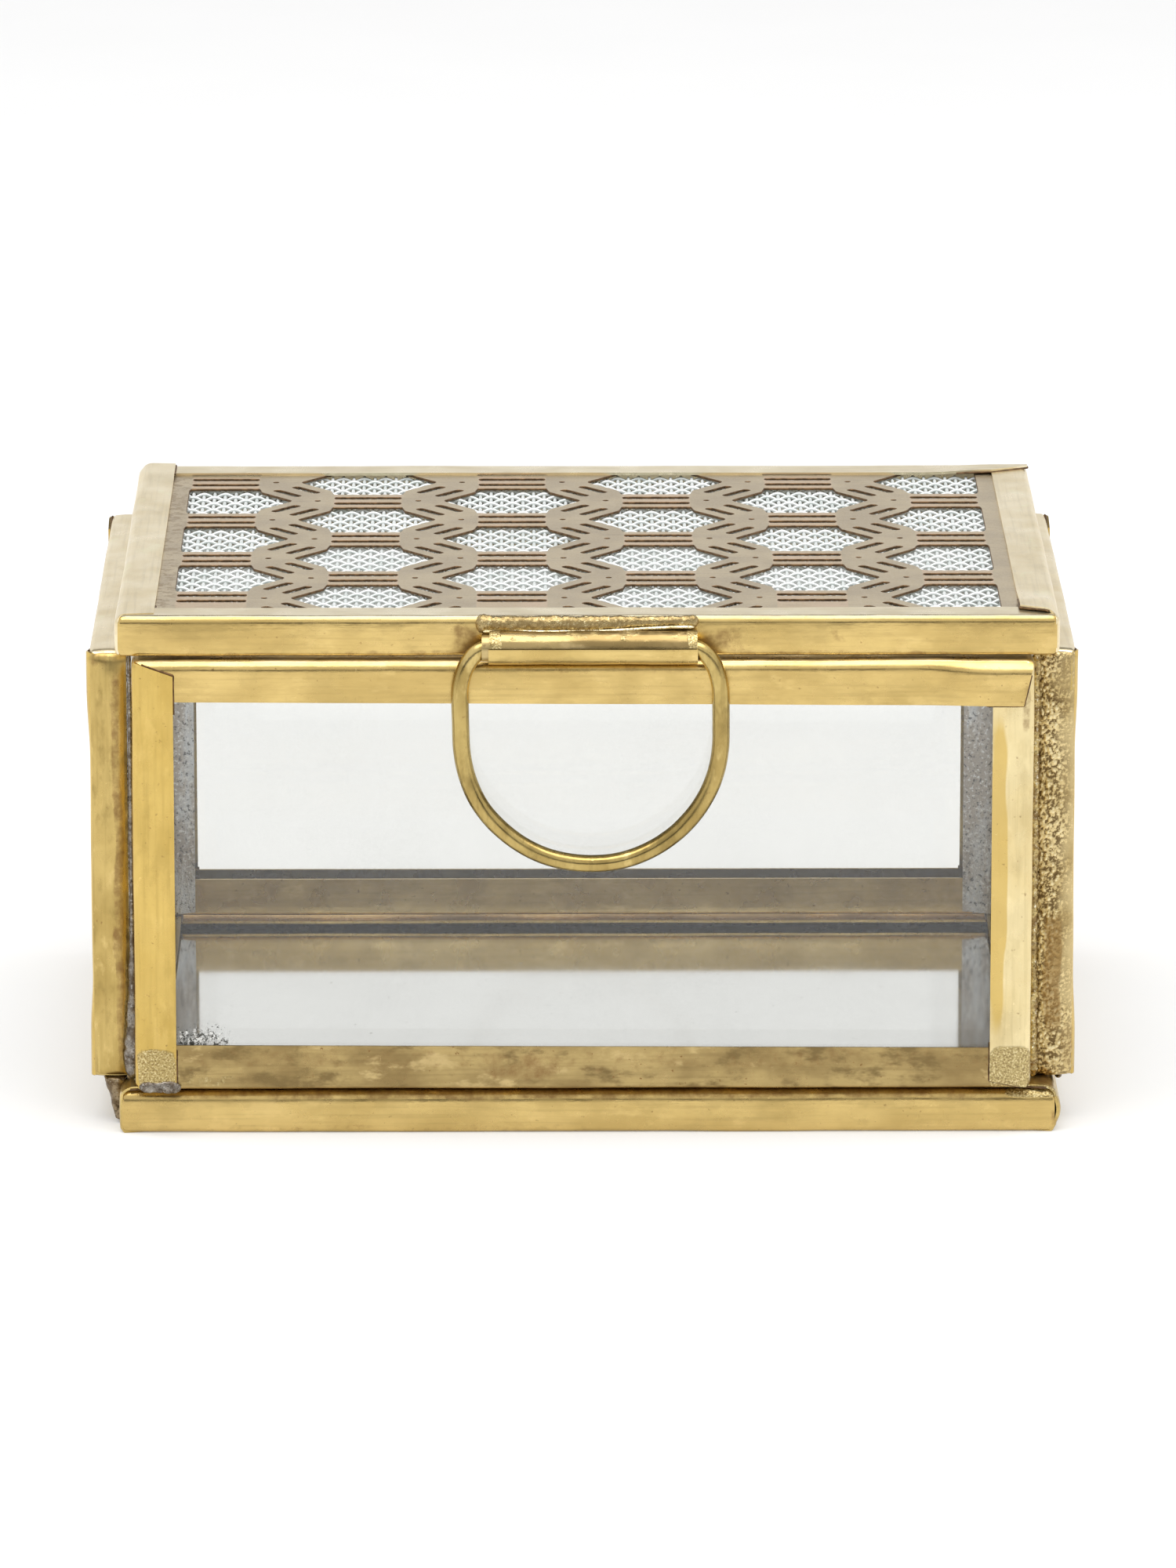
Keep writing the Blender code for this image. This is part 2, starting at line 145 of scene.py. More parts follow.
def ease(value):
    """Smooth step from 0 to 1."""
    value = min(1.0, max(0.0, value))
    return value * value * (3 - 2 * value)


def wander(point, size, seed=0.0):
    """Smooth noise from -1 to 1 whose lumps are about this many millimetres across."""
    return noise.noise(Vector(point) / size + Vector((seed, seed * 1.7, -seed)))


# ---------------------------------------------------------------- materials

class Look:
    """A node-based material being put together."""

    def __init__(self, name):
        self.material = bpy.data.materials.new(name)
        self.material.use_nodes = True
        self.tree = self.material.node_tree
        self.shader = self.tree.nodes["Principled BSDF"]
        self.place = self.add("ShaderNodeTexCoord").outputs["Object"]

    def add(self, kind, sockets=(), **settings):
        made = self.tree.nodes.new(kind)
        for key, value in settings.items():
            setattr(made, key, value)
        for key, value in dict(sockets).items():
            if isinstance(value, bpy.types.NodeSocket):
                self.tree.links.new(value, made.inputs[key])
            else:
                made.inputs[key].default_value = value
        return made

    def spread(self, size, along=None, stretch=1.0, seed=0.0):
        """Coordinates in which one unit is this many millimetres."""
        scale = [1 / (size * MM)] * 3
        if along is not None:
            scale[along] /= stretch
        sockets = {"Vector": self.place, "Scale": scale, "Location": (seed, seed * 1.7, -seed)}
        return self.add("ShaderNodeMapping", sockets).outputs[0]

    def noise(self, size, detail=3.0, rough=0.5, **how):
        sockets = {"Vector": self.spread(size, **how), "Scale": 1.0, "Detail": detail,
                   "Roughness": rough}
        return self.add("ShaderNodeTexNoise", sockets).outputs[0]

    def step(self, value, low, high, start=0.0, end=1.0):
        sockets = {"Value": value, "From Min": low, "From Max": high, "To Min": start,
                   "To Max": end}
        return self.add("ShaderNodeMapRange", sockets, interpolation_type="SMOOTHSTEP").outputs[0]

    def math(self, operation, first, second=0.0):
        return self.add("ShaderNodeMath", {0: first, 1: second}, operation=operation).outputs[0]

    def mix(self, share, first, second):
        sockets = {0: share, 6: colour4(first), 7: colour4(second)}
        return self.add("ShaderNodeMix", sockets, data_type="RGBA").outputs[2]

    def blend(self, share, first, second):
        sockets = {0: share, 2: first, 3: second}
        return self.add("ShaderNodeMix", sockets, data_type="FLOAT").outputs[0]

    def marked(self, name):
        return self.add("ShaderNodeAttribute", attribute_name=name).outputs["Fac"]

    def bump(self, height, depth, normal=None):
        sockets = {"Height": height, "Distance": depth * MM, "Strength": 1.0}
        if normal:
            sockets["Normal"] = normal
        return self.add("ShaderNodeBump", sockets).outputs[0]

    def finish(self, **sockets):
        for key, value in sockets.items():
            socket = self.shader.inputs[key.replace("_", " ")]
            if isinstance(value, bpy.types.NodeSocket):
                self.tree.links.new(value, socket)
            else:
                socket.default_value = value
        return self.material


def colour4(value):
    return (*value, 1.0) if isinstance(value, tuple) else value


BROWN = (0.24, 0.13, 0.05)
SOLDER_DARK = (0.27, 0.19, 0.08)
SOLDER_GOLD = (0.50, 0.385, 0.165)
SOLDER_LIGHT = (0.80, 0.68, 0.38)


def brass(name, light, deep, along=0, roughness=0.27, seed=0.0, speckle=0.5, worn=0.35):
    """Drawn brass strip: cloudy colour, draw marks, specks, painted glints, and where marked, tarnish
    with painted shade and solder.
    """
    look = Look(name)
    clouds = look.noise(7.0, 5.0, rough=0.55, along=along, stretch=1.8, seed=seed)
    streaks = look.noise(0.45, 3.0, along=along, stretch=30.0, seed=seed)
    colour = look.mix(look.step(clouds, 0.38, 0.64), light, deep)
    shade = tuple(0.74 * part for part in deep)
    colour = look.mix(look.step(streaks, 0.45, 0.75, 0.0, 0.35), colour, shade)
    patches = look.noise(2.4, 4.0, rough=0.6, along=along, stretch=2.0, seed=seed + 7.0)
    colour = look.mix(look.step(patches, 0.52, 0.70, 0.0, worn), colour, shade)
    # Lighter rubbed colour, for worn patches and for the painted glints.
    rubbed_and_glint = tuple(min(0.97, 1.16 * part + 0.03) for part in light)
    colour = look.mix(look.step(patches, 0.44, 0.30, 0.0, worn), colour, rubbed_and_glint)
    gilt = look.step(look.marked("gilt"), 0.25, 0.6, 0.0, 0.85)
    colour = look.mix(gilt, colour, (0.64, 0.45, 0.135))
    fine = look.noise(0.55, 3.0, rough=0.6, seed=seed + 3.0)
    specks = look.step(fine, 0.66, 0.74, 0.0, speckle)
    colour = look.mix(specks, colour, BROWN)
    # Painted glints: small specks in the lighter rubbed colour that stand for highlights.
    glints = look.noise(0.7, 3.0, rough=0.6, seed=seed + 13.0)
    colour = look.mix(look.step(glints, 0.70, 0.75, 0.0, 0.6), colour, rubbed_and_glint)
    ragged = look.noise(1.3, 5.0, rough=0.65, seed=seed + 5.0)
    spread = look.math("MULTIPLY", look.math("SUBTRACT", ragged, 0.5), 1.3)
    # Where marked, the brass turns brown: real tarnish in some patches, painted shade in others.
    tarnish = look.math("ADD", look.marked("tarnish"), spread)
    tarnish = look.step(tarnish, 0.25, 0.95, 0.0, 0.8)
    tarnish = look.math("MULTIPLY", tarnish, look.step(look.marked("tarnish"), 0.0, 0.2))
    colour = look.mix(tarnish, colour, BROWN)
    grains = look.noise(0.21, 2.0, rough=0.6, seed=seed + 8.0)
    solder = look.math("ADD", look.marked("solder"), look.math("MULTIPLY", spread, 0.45))
    solder = look.step(solder, 0.42, 0.58)
    metal = look.mix(look.step(grains, 0.52, 0.64), SOLDER_GOLD, SOLDER_DARK)
    metal = look.mix(look.step(grains, 0.46, 0.36), metal, SOLDER_LIGHT)
    colour = look.mix(look.math("MULTIPLY", solder, 0.9), colour, metal)
    rough = look.step(look.noise(4.0, 4.0, seed=seed + 1.0), 0.3, 0.7, roughness - 0.05,
                      roughness + 0.07)
    rough = look.math("ADD", rough, look.math("MULTIPLY", tarnish, 0.15))
    rough = look.blend(solder, rough, 0.36)
    normal = look.bump(streaks, 0.012)
    normal = look.bump(patches, 0.05, normal)
    normal = look.bump(look.math("MULTIPLY", grains, solder), 0.10, normal)
    return look.finish(Base_Color=colour, Metallic=1.0, Roughness=rough, Normal=normal)


def spattered_brass():
    """Brass strip covered with grains of splashed solder, with painted shade between the grains and
    painted highlights on their tops.
    """
    look = Look("brass_spattered")
    clouds = look.noise(3.5, 4.0, rough=0.6, along=2, stretch=2.0, seed=14.0)
    colour = look.mix(look.step(clouds, 0.40, 0.62), (0.76, 0.60, 0.30), (0.55, 0.41, 0.18))
    grain = look.marked("grain")
    cover = look.marked("cover")
    fine = look.noise(0.24, 3.0, rough=0.7, seed=5.0)
    height = look.math("ADD", grain, look.math("MULTIPLY", look.math("SUBTRACT", fine, 0.5), 1.5))
    # Painted shade between the grains and painted highlights on their tops, set by the grains' height.
    pits = look.math("MULTIPLY", look.step(height, 0.42, 0.16), cover)
    grain_top_highlight = look.math("MULTIPLY", look.step(height, 0.55, 0.85), cover)
    colour = look.mix(look.math("MULTIPLY", pits, 0.9), colour, (0.12, 0.07, 0.025))
    colour = look.mix(look.math("MULTIPLY", grain_top_highlight, 0.85), colour, (0.88, 0.76, 0.46))
    stain = look.step(look.math("ADD", look.marked("tarnish"), look.math("SUBTRACT", clouds, 0.5)),
                      0.3, 0.8, 0.0, 0.7)
    colour = look.mix(stain, colour, (0.30, 0.18, 0.06))
    normal = look.bump(fine, 0.07)
    return look.finish(Base_Color=colour, Metallic=1.0, Roughness=0.30, Normal=normal)


def solder_metal(name, main, second, seed=0.0, roughness=0.38, dark=(0.16, 0.11, 0.05),
                 light=(0.86, 0.80, 0.62)):
    """Cold solder: mottled, pitted and partly stained with flux, with bright grains."""
    look = Look(name)
    mottle = look.noise(1.1, 4.0, rough=0.6, seed=seed)
    colour = look.mix(look.step(mottle, 0.40, 0.62), main, second)
    pits = look.noise(0.34, 3.0, rough=0.7, seed=seed + 2.0)
    colour = look.mix(look.step(pits, 0.54, 0.68, 0.0, 0.85), colour, dark)
    colour = look.mix(look.step(pits, 0.42, 0.32, 0.0, 0.85), colour, light)
    rough = look.step(mottle, 0.3, 0.7, roughness - 0.1, roughness + 0.15)
    normal = look.bump(pits, 0.10)
    return look.finish(Base_Color=colour, Metallic=1.0, Roughness=rough, Normal=normal)


def soldered_inside():
    """Tinned inner faces: blue-grey, with brown flux and silver grains."""
    look = Look("brass_tinned_inside")
    mottle = look.noise(4.0, 5.0, rough=0.6, along=2, stretch=3.0, seed=21.0)
    colour = look.mix(look.step(mottle, 0.42, 0.60), (0.80, 0.83, 0.87), (0.58, 0.53, 0.48))
    runs = look.noise(1.2, 4.0, rough=0.6, along=2, stretch=5.0, seed=22.0)
    colour = look.mix(look.step(runs, 0.56, 0.68, 0.0, 0.8), colour, (0.88, 0.92, 0.97))
    grains = look.noise(0.5, 3.0, rough=0.7, seed=23.0)
    colour = look.mix(look.step(grains, 0.56, 0.61), colour, (0.97, 0.98, 0.98))
    colour = look.mix(look.step(grains, 0.43, 0.38, 0.0, 0.85), colour, (0.10, 0.10, 0.10))
    rough = look.step(runs, 0.4, 0.6, 0.42, 0.30)
    normal = look.bump(runs, 0.10)
    normal = look.bump(grains, 0.12, normal)
    return look.finish(Base_Color=colour, Metallic=1.0, Roughness=rough, Normal=normal)


def fretwork_brass():
    """Etched brass plate, pinkish on the slotted bars and grey-beige between them."""
    look = Look("fretwork_brass")
    along = look.add("ShaderNodeSeparateXYZ", {"Vector": look.place}).outputs[0]
    low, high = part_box("lid_fretwork")
    first_column = (low.x + high.x) / 2 - COLUMN_PITCH / 2 * MM
    shifted = look.math("SUBTRACT", along, first_column)
    distance = look.math("PINGPONG", shifted, COLUMN_PITCH / 2 * MM)
    bars = look.step(distance, (OPENING_FLAT + 0.1) * MM, (OPENING_FLAT - 0.15) * MM)
    clouds = look.noise(6.0, 4.0, seed=4.0)
    plate = look.mix(look.step(clouds, 0.35, 0.65), (0.64, 0.54, 0.375), (0.55, 0.46, 0.325))
    rods = look.mix(look.step(clouds, 0.35, 0.65), (0.72, 0.56, 0.40), (0.66, 0.53, 0.36))
    colour = look.mix(bars, plate, rods)
    scratches = look.noise(0.35, 3.0, along=0, stretch=14.0, seed=2.0)
    colour = look.mix(look.step(scratches, 0.6, 0.72, 0.0, 0.35), colour, (0.34, 0.27, 0.19))
    stains = look.noise(1.1, 4.0, rough=0.65, seed=12.0)
    edge = look.step(along, (low.x + 0.0075), (low.x + 0.004))
    stains = look.math("MULTIPLY", look.step(stains, 0.47, 0.60, 0.0, 0.7), edge)
    colour = look.mix(stains, colour, (0.34, 0.24, 0.13))
    fine = look.noise(0.22, 2.0, seed=7.0)
    rough = look.step(fine, 0.3, 0.7, 0.36, 0.50)
    normal = look.bump(fine, 0.012)
    return look.finish(Base_Color=colour, Metallic=1.0, Roughness=rough, Normal=normal)


# Dark brown for painted shade: the shadow lines at lapped strip ends and the walls of the fretwork's
# cuts.
def painted_shade_edge(name):
    look = Look(name)
    shade = look.noise(0.6, 3.0, seed=1.0)
    colour = look.mix(look.step(shade, 0.35, 0.65), (0.20, 0.12, 0.06), (0.10, 0.06, 0.03))
    return look.finish(Base_Color=colour, Metallic=0.8, Roughness=0.5,
                       Normal=look.bump(shade, 0.02))


def mesh_wire():
    """Bright drawn steel wire."""
    look = Look("steel_wire")
    shade = look.noise(2.5, 4.0, seed=6.0)
    colour = look.mix(look.step(shade, 0.35, 0.7), (0.75, 0.77, 0.76), (0.62, 0.66, 0.64))
    drawn = look.noise(0.12, 2.0, seed=2.0)
    return look.finish(Base_Color=colour, Metallic=0.35,
                       Roughness=look.step(drawn, 0.3, 0.7, 0.34, 0.5),
                       Normal=look.bump(drawn, 0.004))


def mirror_silver():
    """Silvered glass with a few spots in the silver."""
    look = Look("mirror")
    specks = look.noise(0.9, 3.0, rough=0.6, seed=11.0)
    spots = look.step(specks, 0.70, 0.76, 0.0, 0.6)
    haze = look.noise(14.0, 3.0, seed=3.0)
    silver = look.mix(look.step(haze, 0.35, 0.7), (0.975, 0.975, 0.965), (0.95, 0.95, 0.94))
    colour = look.mix(spots, silver, (0.45, 0.45, 0.43))
    rough = look.math("ADD", look.step(haze, 0.3, 0.7, 0.07, 0.09),
                      look.math("MULTIPLY", spots, 0.3))
    return look.finish(Base_Color=colour, Metallic=1.0, Roughness=rough)


def window_glass(name, dirt_place=None, dirt_reach=None, seed=0.0, haze=0.03):
    """Clear glass that reflects at its surface, with dust and, in one corner, flux dirt."""
    look = Look(name)
    tree = look.tree
    clear = look.add("ShaderNodeBsdfTransparent", {"Color": (0.949, 0.951, 0.944, 1.0)})
    gloss = look.add("ShaderNodeBsdfGlossy", {"Color": (1.0, 1.0, 1.0, 1.0), "Roughness": 0.01})
    facing = look.add("ShaderNodeLayerWeight", {"Blend": 0.5}).outputs["Facing"]
    edge = look.step(look.math("POWER", facing, 4.0), 0.0, 1.0, 0.04, 0.75)
    pane = look.add("ShaderNodeMixShader", {0: edge, 1: clear.outputs[0], 2: gloss.outputs[0]})
    fine = look.noise(0.30, 3.0, rough=0.7, seed=seed)
    dust = look.step(fine, 0.735, 0.76, 0.0, 0.5)
    film = look.step(look.noise(12.0, 3.0, seed=seed + 4.0), 0.4, 0.8, haze * 0.5, haze)
    dust = look.math("MAXIMUM", dust, film)
    grime = look.noise(0.38, 4.0, rough=0.75, seed=seed + 2.0)
    colour = look.mix(look.step(grime, 0.46, 0.52), (0.85, 0.85, 0.82), (0.06, 0.06, 0.05))
    if dirt_place:
        reach = [1 / (part * MM) for part in dirt_reach]
        offset = look.add("ShaderNodeVectorMath", {0: look.place, 1: [p * MM for p in dirt_place]},
                          operation="SUBTRACT").outputs[0]
        scaled = look.add("ShaderNodeVectorMath", {0: offset, 1: reach},
                          operation="MULTIPLY").outputs[0]
        away = look.add("ShaderNodeVectorMath", {0: scaled}, operation="LENGTH").outputs["Value"]
        near = look.step(away, 1.0, 0.1, 0.0, 0.30)
        clumps = look.math("ADD", look.noise(0.5, 5.0, rough=0.8, seed=seed + 6.0), near)
        dust = look.math("MAXIMUM", dust, look.step(clumps, 0.68, 0.76, 0.0, 0.95))
    dirt = look.add("ShaderNodeBsdfDiffuse", {"Color": colour})
    whole = look.add("ShaderNodeMixShader", {0: dust, 1: pane.outputs[0], 2: dirt.outputs[0]})
    tree.nodes.remove(look.shader)
    tree.links.new(whole.outputs[0], tree.nodes["Material Output"].inputs["Surface"])
    return look.material


# ---------------------------------------------------------------- meshes

def piece(name, points, faces, looks, body, slot, stands_for=(), sharp=35.0, marks=None,
          picks=None):
    """One visible piece, riding on a CAD body. marks are named values for each point."""
    mesh = bpy.data.meshes.new(name)
    mesh.from_pydata((np.asarray(points, float) * MM).tolist(), [], faces)
    for look in looks if isinstance(looks, list) else [looks]:
        mesh.materials.append(look)
    if picks is not None:
        mesh.polygons.foreach_set("material_index", picks)
    for key, values in (marks or {}).items():
        mark = mesh.attributes.new(key, "FLOAT", "POINT")
        mark.data.foreach_set("value", np.asarray(values, np.float32))
    mesh.validate()
    shape = bmesh.new()
    shape.from_mesh(mesh)
    bmesh.ops.recalc_face_normals(shape, faces=shape.faces)
    shape.to_mesh(mesh)
    shape.free()
    mesh.shade_smooth()
    mesh.set_sharp_from_angle(angle=math.radians(sharp))
    made = bpy.data.objects.new(name, mesh)
    bpy.context.scene.collection.objects.link(made)
    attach(made, body)
    if stands_for:
        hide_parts(*([stands_for] if isinstance(stands_for, str) else stands_for))
    return made


def grid_faces(rows, columns, wrap_rows=False, wrap_columns=True, first=0):
    """Quads between rows of points; each row closes on itself where asked."""
    faces = []
    for row in range(rows if wrap_rows else rows - 1):
        for column in range(columns if wrap_columns else columns - 1):
            a = first + row * columns + column
            b = first + row * columns + (column + 1) % columns
            c = first + (row + 1) % rows * columns + (column + 1) % columns
            d = first + (row + 1) % rows * columns + column
            faces.append((a, b, c, d))
    return faces


def capped_strip(rows, columns):
    """Faces of a skin whose second half runs back along the first, with both ends closed."""
    faces = grid_faces(rows, columns)
    for row in (0, rows - 1):
        for index in range(columns // 2 - 1):
            a = row * columns + index
            b = row * columns + columns - 1 - index
            faces.append((a, a + 1, b - 1, b))
    return faces


def station(step, count, even):
    """Share of the way along, crowded towards both ends unless even is 1."""
    share = (1 - math.cos(math.pi * step / count)) / 2
    return share * (1 - even) + step / count * even


def swept(sections, closed=False):
    """Points and faces of a closed body through rings of points, capped with a fan."""
    rows, columns = len(sections), len(sections[0])
    points = [tuple(point) for ring in sections for point in ring]
    faces = grid_faces(rows, columns, wrap_rows=closed)
    if not closed:
        for ring in (0, rows - 1):
            centre = len(points)
            points.append(tuple(np.mean(np.array(sections[ring]), axis=0)))
            for column in range(columns):
                a = ring * columns + column
                b = ring * columns + (column + 1) % columns
                faces.append((a, b, centre))
    return points, faces


class Panel:
    """A bound panel's own frame: a runs along its width, b up its height, c outwards."""

    def __init__(self, node, along, up):
        low, high = box_mm(node)
        self.node = node
        self.along, self.up = np.array(along, float), np.array(up, float)
        self.out = np.cross(self.along, self.up)
        self.centre = (low + high) / 2
        size = high - low
        self.width = abs(size @ self.along)
        self.height = abs(size @ self.up)
        self.half = abs(size @ self.out) / 2

    def place(self, a, b, c):
        return (self.centre + self.along * (a - self.width / 2) + self.up * (b - self.height / 2)
                + self.out * c)

    def rounded(self, a, b, radius):
        """Moves a point near a corner so that the corner's outline is round."""
        from_a = min(a, self.width - a)
        from_b = min(b, self.height - b)
        if from_a >= radius or from_b >= radius:
            return a, b
        across, over = radius - from_a, radius - from_b
        shrink = max(across, over) / math.hypot(across, over)
        from_a, from_b = radius - across * shrink, radius - over * shrink
        return (from_a if a < self.width / 2 else self.width - from_a,
                from_b if b < self.height / 2 else self.height - from_b)


def fold_section(half, style):
    """(inward, level, normal inward, normal level) along the strip's outer skin."""
    def flange_and_fold(reach, bend, side, pressed):
        made = []
        for step in range(FLANGE_STEPS):
            share = (step / FLANGE_STEPS) ** 0.8
            level = half - pressed * (1 - share)
            made.append((reach + (bend - reach) * share, side * level, 0.0, side))
        for step in range(FOLD_STEPS):
            a = math.radians(90 * step / FOLD_STEPS)
            made.append((bend - bend * math.sin(a), side * (half - bend + bend * math.cos(a)),
                         -math.sin(a), side * math.cos(a)))
        return made

    outer = flange_and_fold(style["face"], style["radius"], 1, 0.0)
    inner = flange_and_fold(style["inner_face"], style["inner_radius"], -1, style["pressed"])
    top, low = half - style["radius"], style["inner_radius"] - half
    web = []
    for step in range(style["web_steps"] + 1):
        level = top + (low - top) * step / style["web_steps"]
        off_middle = 2 * (level - low) / (top - low) - 1
        web.append((-style["crown"] * (1 - off_middle ** 2), level, -1.0, 0.0))
    return outer + web + inner[::-1]


def fold_height(half, bend, inward):
    """Level of a fold's outer skin at this distance in from its web."""
    across = bend - min(bend, max(0.0, inward))
    return half - bend + math.sqrt(max(0.0, bend * bend - across * across))


def strip_cut(cut, inward):
    """How far from the corner a strip's end is, at this distance in from the panel's edge."""
    start, slope, free = cut
    return start * ease(inward / 0.9) + slope * max(0.0, inward - free)


def marked_amount(point, patches):
    """How strongly a point is marked by soft-edged rounded boxes: 1 inside, 0 away."""
    if not patches:
        return 0.0
    most = 0.0
    drift = 0.45 * wander(point, 5.0, 31.0)
    point = (point[0] + drift, point[1], point[2] + drift)
    for centre, radii, strength in patches:
        offset = [abs(p - c) / r for p, c, r in zip(point, centre, radii)]
        if max(offset) < 1.3:
            away = sum(part ** 4 for part in offset) ** 0.25
            most = max(most, strength * ease((1.3 - away) / 0.6))
    return most


def patch_marks(points, **patches):
    """For each kind of patch, how strongly it marks each point."""
    return {name: [marked_amount(point, boxes) for point in points]
            for name, boxes in patches.items()}


def grain_height(point, seed):
    """Round grains of splashed solder, 0 between them and 1 at their tops."""
    place = Vector(point) + Vector((seed, 0.0, 0.0))
    coarse = noise.voronoi(place / 0.46)[0][0]
    fine = noise.voronoi(place / 0.29 + Vector((9.0, 0.0, 0.0)))[0][0]
    return max(ease(1.15 - 1.5 * coarse), 0.6 * ease(1.1 - 1.5 * fine))


def strip(panel, side, style):
    """One folded strip along an edge of a panel, as points, faces and marks."""
    length = panel.width if side in ("bottom", "top") else panel.height
    section = fold_section(panel.half, style)
    stations = style["stations"]
    inwards = {"bottom": panel.up, "right": -panel.along, "top": -panel.up,
               "left": panel.along}[side]
    cut_start, cut_end = style["cuts"][side]
    lift_start, lift_end = style["lifts"][side]
    flare_start, flare_end = style["flare"]
    bend_start, bend_end = style["neighbours"]
    rows, grains = [], []
    for step in range(stations + 1):
        share = station(step, stations, style["even"])
        row = []
        for skin in (0.0, SHEET):
            ring = section if skin == 0.0 else section[::-1]
            for inward, level, normal_in, normal_level in ring:
                start = strip_cut(cut_start, inward) + (0.0 if lift_start else 0.1)
                end = length - strip_cut(cut_end, inward) - (0.0 if lift_end else 0.1)
                s = start + (end - start) * share
                from_start, from_end = s, length - s
                if not lift_start:
                    top = fold_height(panel.half, bend_start, from_start) - 0.05
                    level = max(-top, min(top, level))
                if not lift_end:
                    top = fold_height(panel.half, bend_end, from_end) - 0.05
                    level = max(-top, min(top, level))
                lift = lift_start * ease(1 - (from_start - style["face"]) / LAP_RAMP)
                lift = max(lift, lift_end * ease(1 - (from_end - style["face"]) / LAP_RAMP))
                lift *= ease((inward - 0.3) / 1.2) if level > 0 else 0.0
                over = max(0.0, inward - style["radius"]) / (style["face"] - style["radius"])
                flare = (flare_start + (flare_end - flare_start) * share) * over
                pinch = style["pinch"] * max(ease(1 - from_start / 3.0), ease(1 - from_end / 3.0))
                r = inward - normal_in * skin + flare
                if inward < 0:
                    r -= inward * pinch
                w = level - normal_level * skin + lift
                a, b = {"bottom": (s, r), "right": (panel.width - r, s),
                        "top": (length - s, panel.height - r), "left": (r, length - s)}[side]
                a, b = panel.rounded(a, b, style["corner"])
                here = panel.place(a, b, w)
                wave = style["wave"] * wander(here, 13.0, style["seed"])
                wave += style["wave"] * 0.35 * wander(here, 4.5, style["seed"] + 3.1)
                push = inwards * normal_in + panel.out * normal_level
                grain, cover = 0.0, 0.0
                if style["spatter"] and skin == 0.0 and normal_in < -0.5:
                    cover = style["spatter"](here)
                    grain = grain_height(here, style["seed"]) * cover
                grains.append((grain, cover))
                row.append(here + push * (wave + 0.13 * grain))
        rows.append(row)
    points = [point for row in rows for point in row]
    return points, capped_strip(len(rows), len(rows[0])), grains


def seam_shadow_line(points, columns, end, panel):
    """A thin dark line of painted shadow round a lifted strip end, where it lies on the next strip."""
    grid = np.array(points).reshape(-1, columns, 3)
    if end:
        grid = grid[::-1]
    skin = grid[:, ::-1][:, :FLANGE_STEPS]
    path = []
    for column in range(FLANGE_STEPS - 1, -1, -1):
        away = skin[0, column] - skin[2, column]
        path.append(skin[0, column] + away / np.linalg.norm(away) * SEAM_OFFSET)
    for row in range(len(skin)):
        if np.linalg.norm(skin[row, 0] - skin[0, 0]) > SEAM_LENGTH:
            break
        away = skin[row, 0] - skin[row, 2]
        path.append(skin[row, 0] + away / np.linalg.norm(away) * SEAM_OFFSET)
    rings = []
    for index, here in enumerate(path):
        heading = path[min(index + 1, len(path) - 1)] - path[max(index - 1, 0)]
        across = np.cross(heading / np.linalg.norm(heading), panel.out)
        size = SEAM_RADIUS * (1 + 0.4 * wander(here, 1.5, 17.0))
        rings.append([here + size * (across * math.cos(turn) + panel.out * math.sin(turn))
                      for turn in np.linspace(0, 2 * math.pi, 6, endpoint=False)])
    return swept(rings)


PLAIN_CUT = (0.0, 0.0, 0.0)
PLAIN_STYLE = {
    "face": 4.6, "inner_face": 4.4, "radius": 0.7, "inner_radius": 0.6, "corner": 0.8,
    "crown": 0.06, "wave": 0.07, "seed": 0.0, "stations": STATIONS, "web_steps": WEB_STEPS,
    "even": 0.25, "flare": (0.0, 0.0), "pinch": 0.0, "spatter": None, "pressed": 0.0, "seam": 3,
}
SIDES = ("bottom", "right", "top", "left")


def bound_frame(name, panel, looks, sides, body="box", solder=(), tarnish=(), gilt=(),
                **changes):
    """A panel's four strips as one piece.

    sides names each side's look, or three: the web's, the inner and the outer flange's.
    """
    style = {**PLAIN_STYLE, **changes}
    own = {side: {**style, **style.get("own", {}).get(side, {})} for side in SIDES}
    cuts = {side: [PLAIN_CUT, PLAIN_CUT] for side in SIDES}
    lifts = {side: [0.0, 0.0] for side in SIDES}
    for side, end, cut, lift in style.get("ends", ()):
        cuts[side][end] = cut
        lifts[side][end] = lift
    slots, points, faces, picks, grains = [], [], [], [], []
    for index, side in enumerate(SIDES):
        names = sides[side]
        slots += [looks[key] for key in (names if isinstance(names, tuple) else [names] * 3)]
        before, after = SIDES[index - 1], SIDES[(index + 1) % 4]
        side_style = {**own[side], "cuts": cuts, "lifts": lifts,
                      "neighbours": (own[before]["radius"], own[after]["radius"])}
        made, quads, marks = strip(panel, side, side_style)
        columns = len(made) // (side_style["stations"] + 1)
        outer = FLANGE_STEPS + FOLD_STEPS + side_style["web_steps"] + 1
        inner_columns = range(outer, columns - outer)
        first = len(points)
        points += made
        grains += marks
        faces += [tuple(first + corner for corner in quad) for quad in quads]
        for quad in quads:
            column = quad[0] % columns
            # Fold steps that take the outer flange's look; next to a pale lit copy this sets where the
            # painted light ends in the fold.
            in_flange = column < FLANGE_STEPS + side_style["seam"]
            part = 1 if column in inner_columns else 2 if in_flange else 0
            picks.append(3 * index + part)
        for end in (0, 1):
            if lifts[side][end]:
                line, rings = seam_shadow_line(made, columns, end, panel)
                first = len(points)
                points += line
                grains += [(0.0, 0.0)] * len(line)
                faces += [tuple(first + corner for corner in quad) for quad in rings]
                picks += [12] * len(rings)
    marks = patch_marks(points, solder=solder, tarnish=tarnish, gilt=gilt)
    marks["grain"] = [grain for grain, _ in grains]
    marks["cover"] = [cover for _, cover in grains]
    # Last slot: the look of the painted shadow lines.
    slots.append(looks["seam"])
    return piece(name, points, faces, slots, body, "brass", panel.node, marks=marks,
                 picks=picks, sharp=40.0)


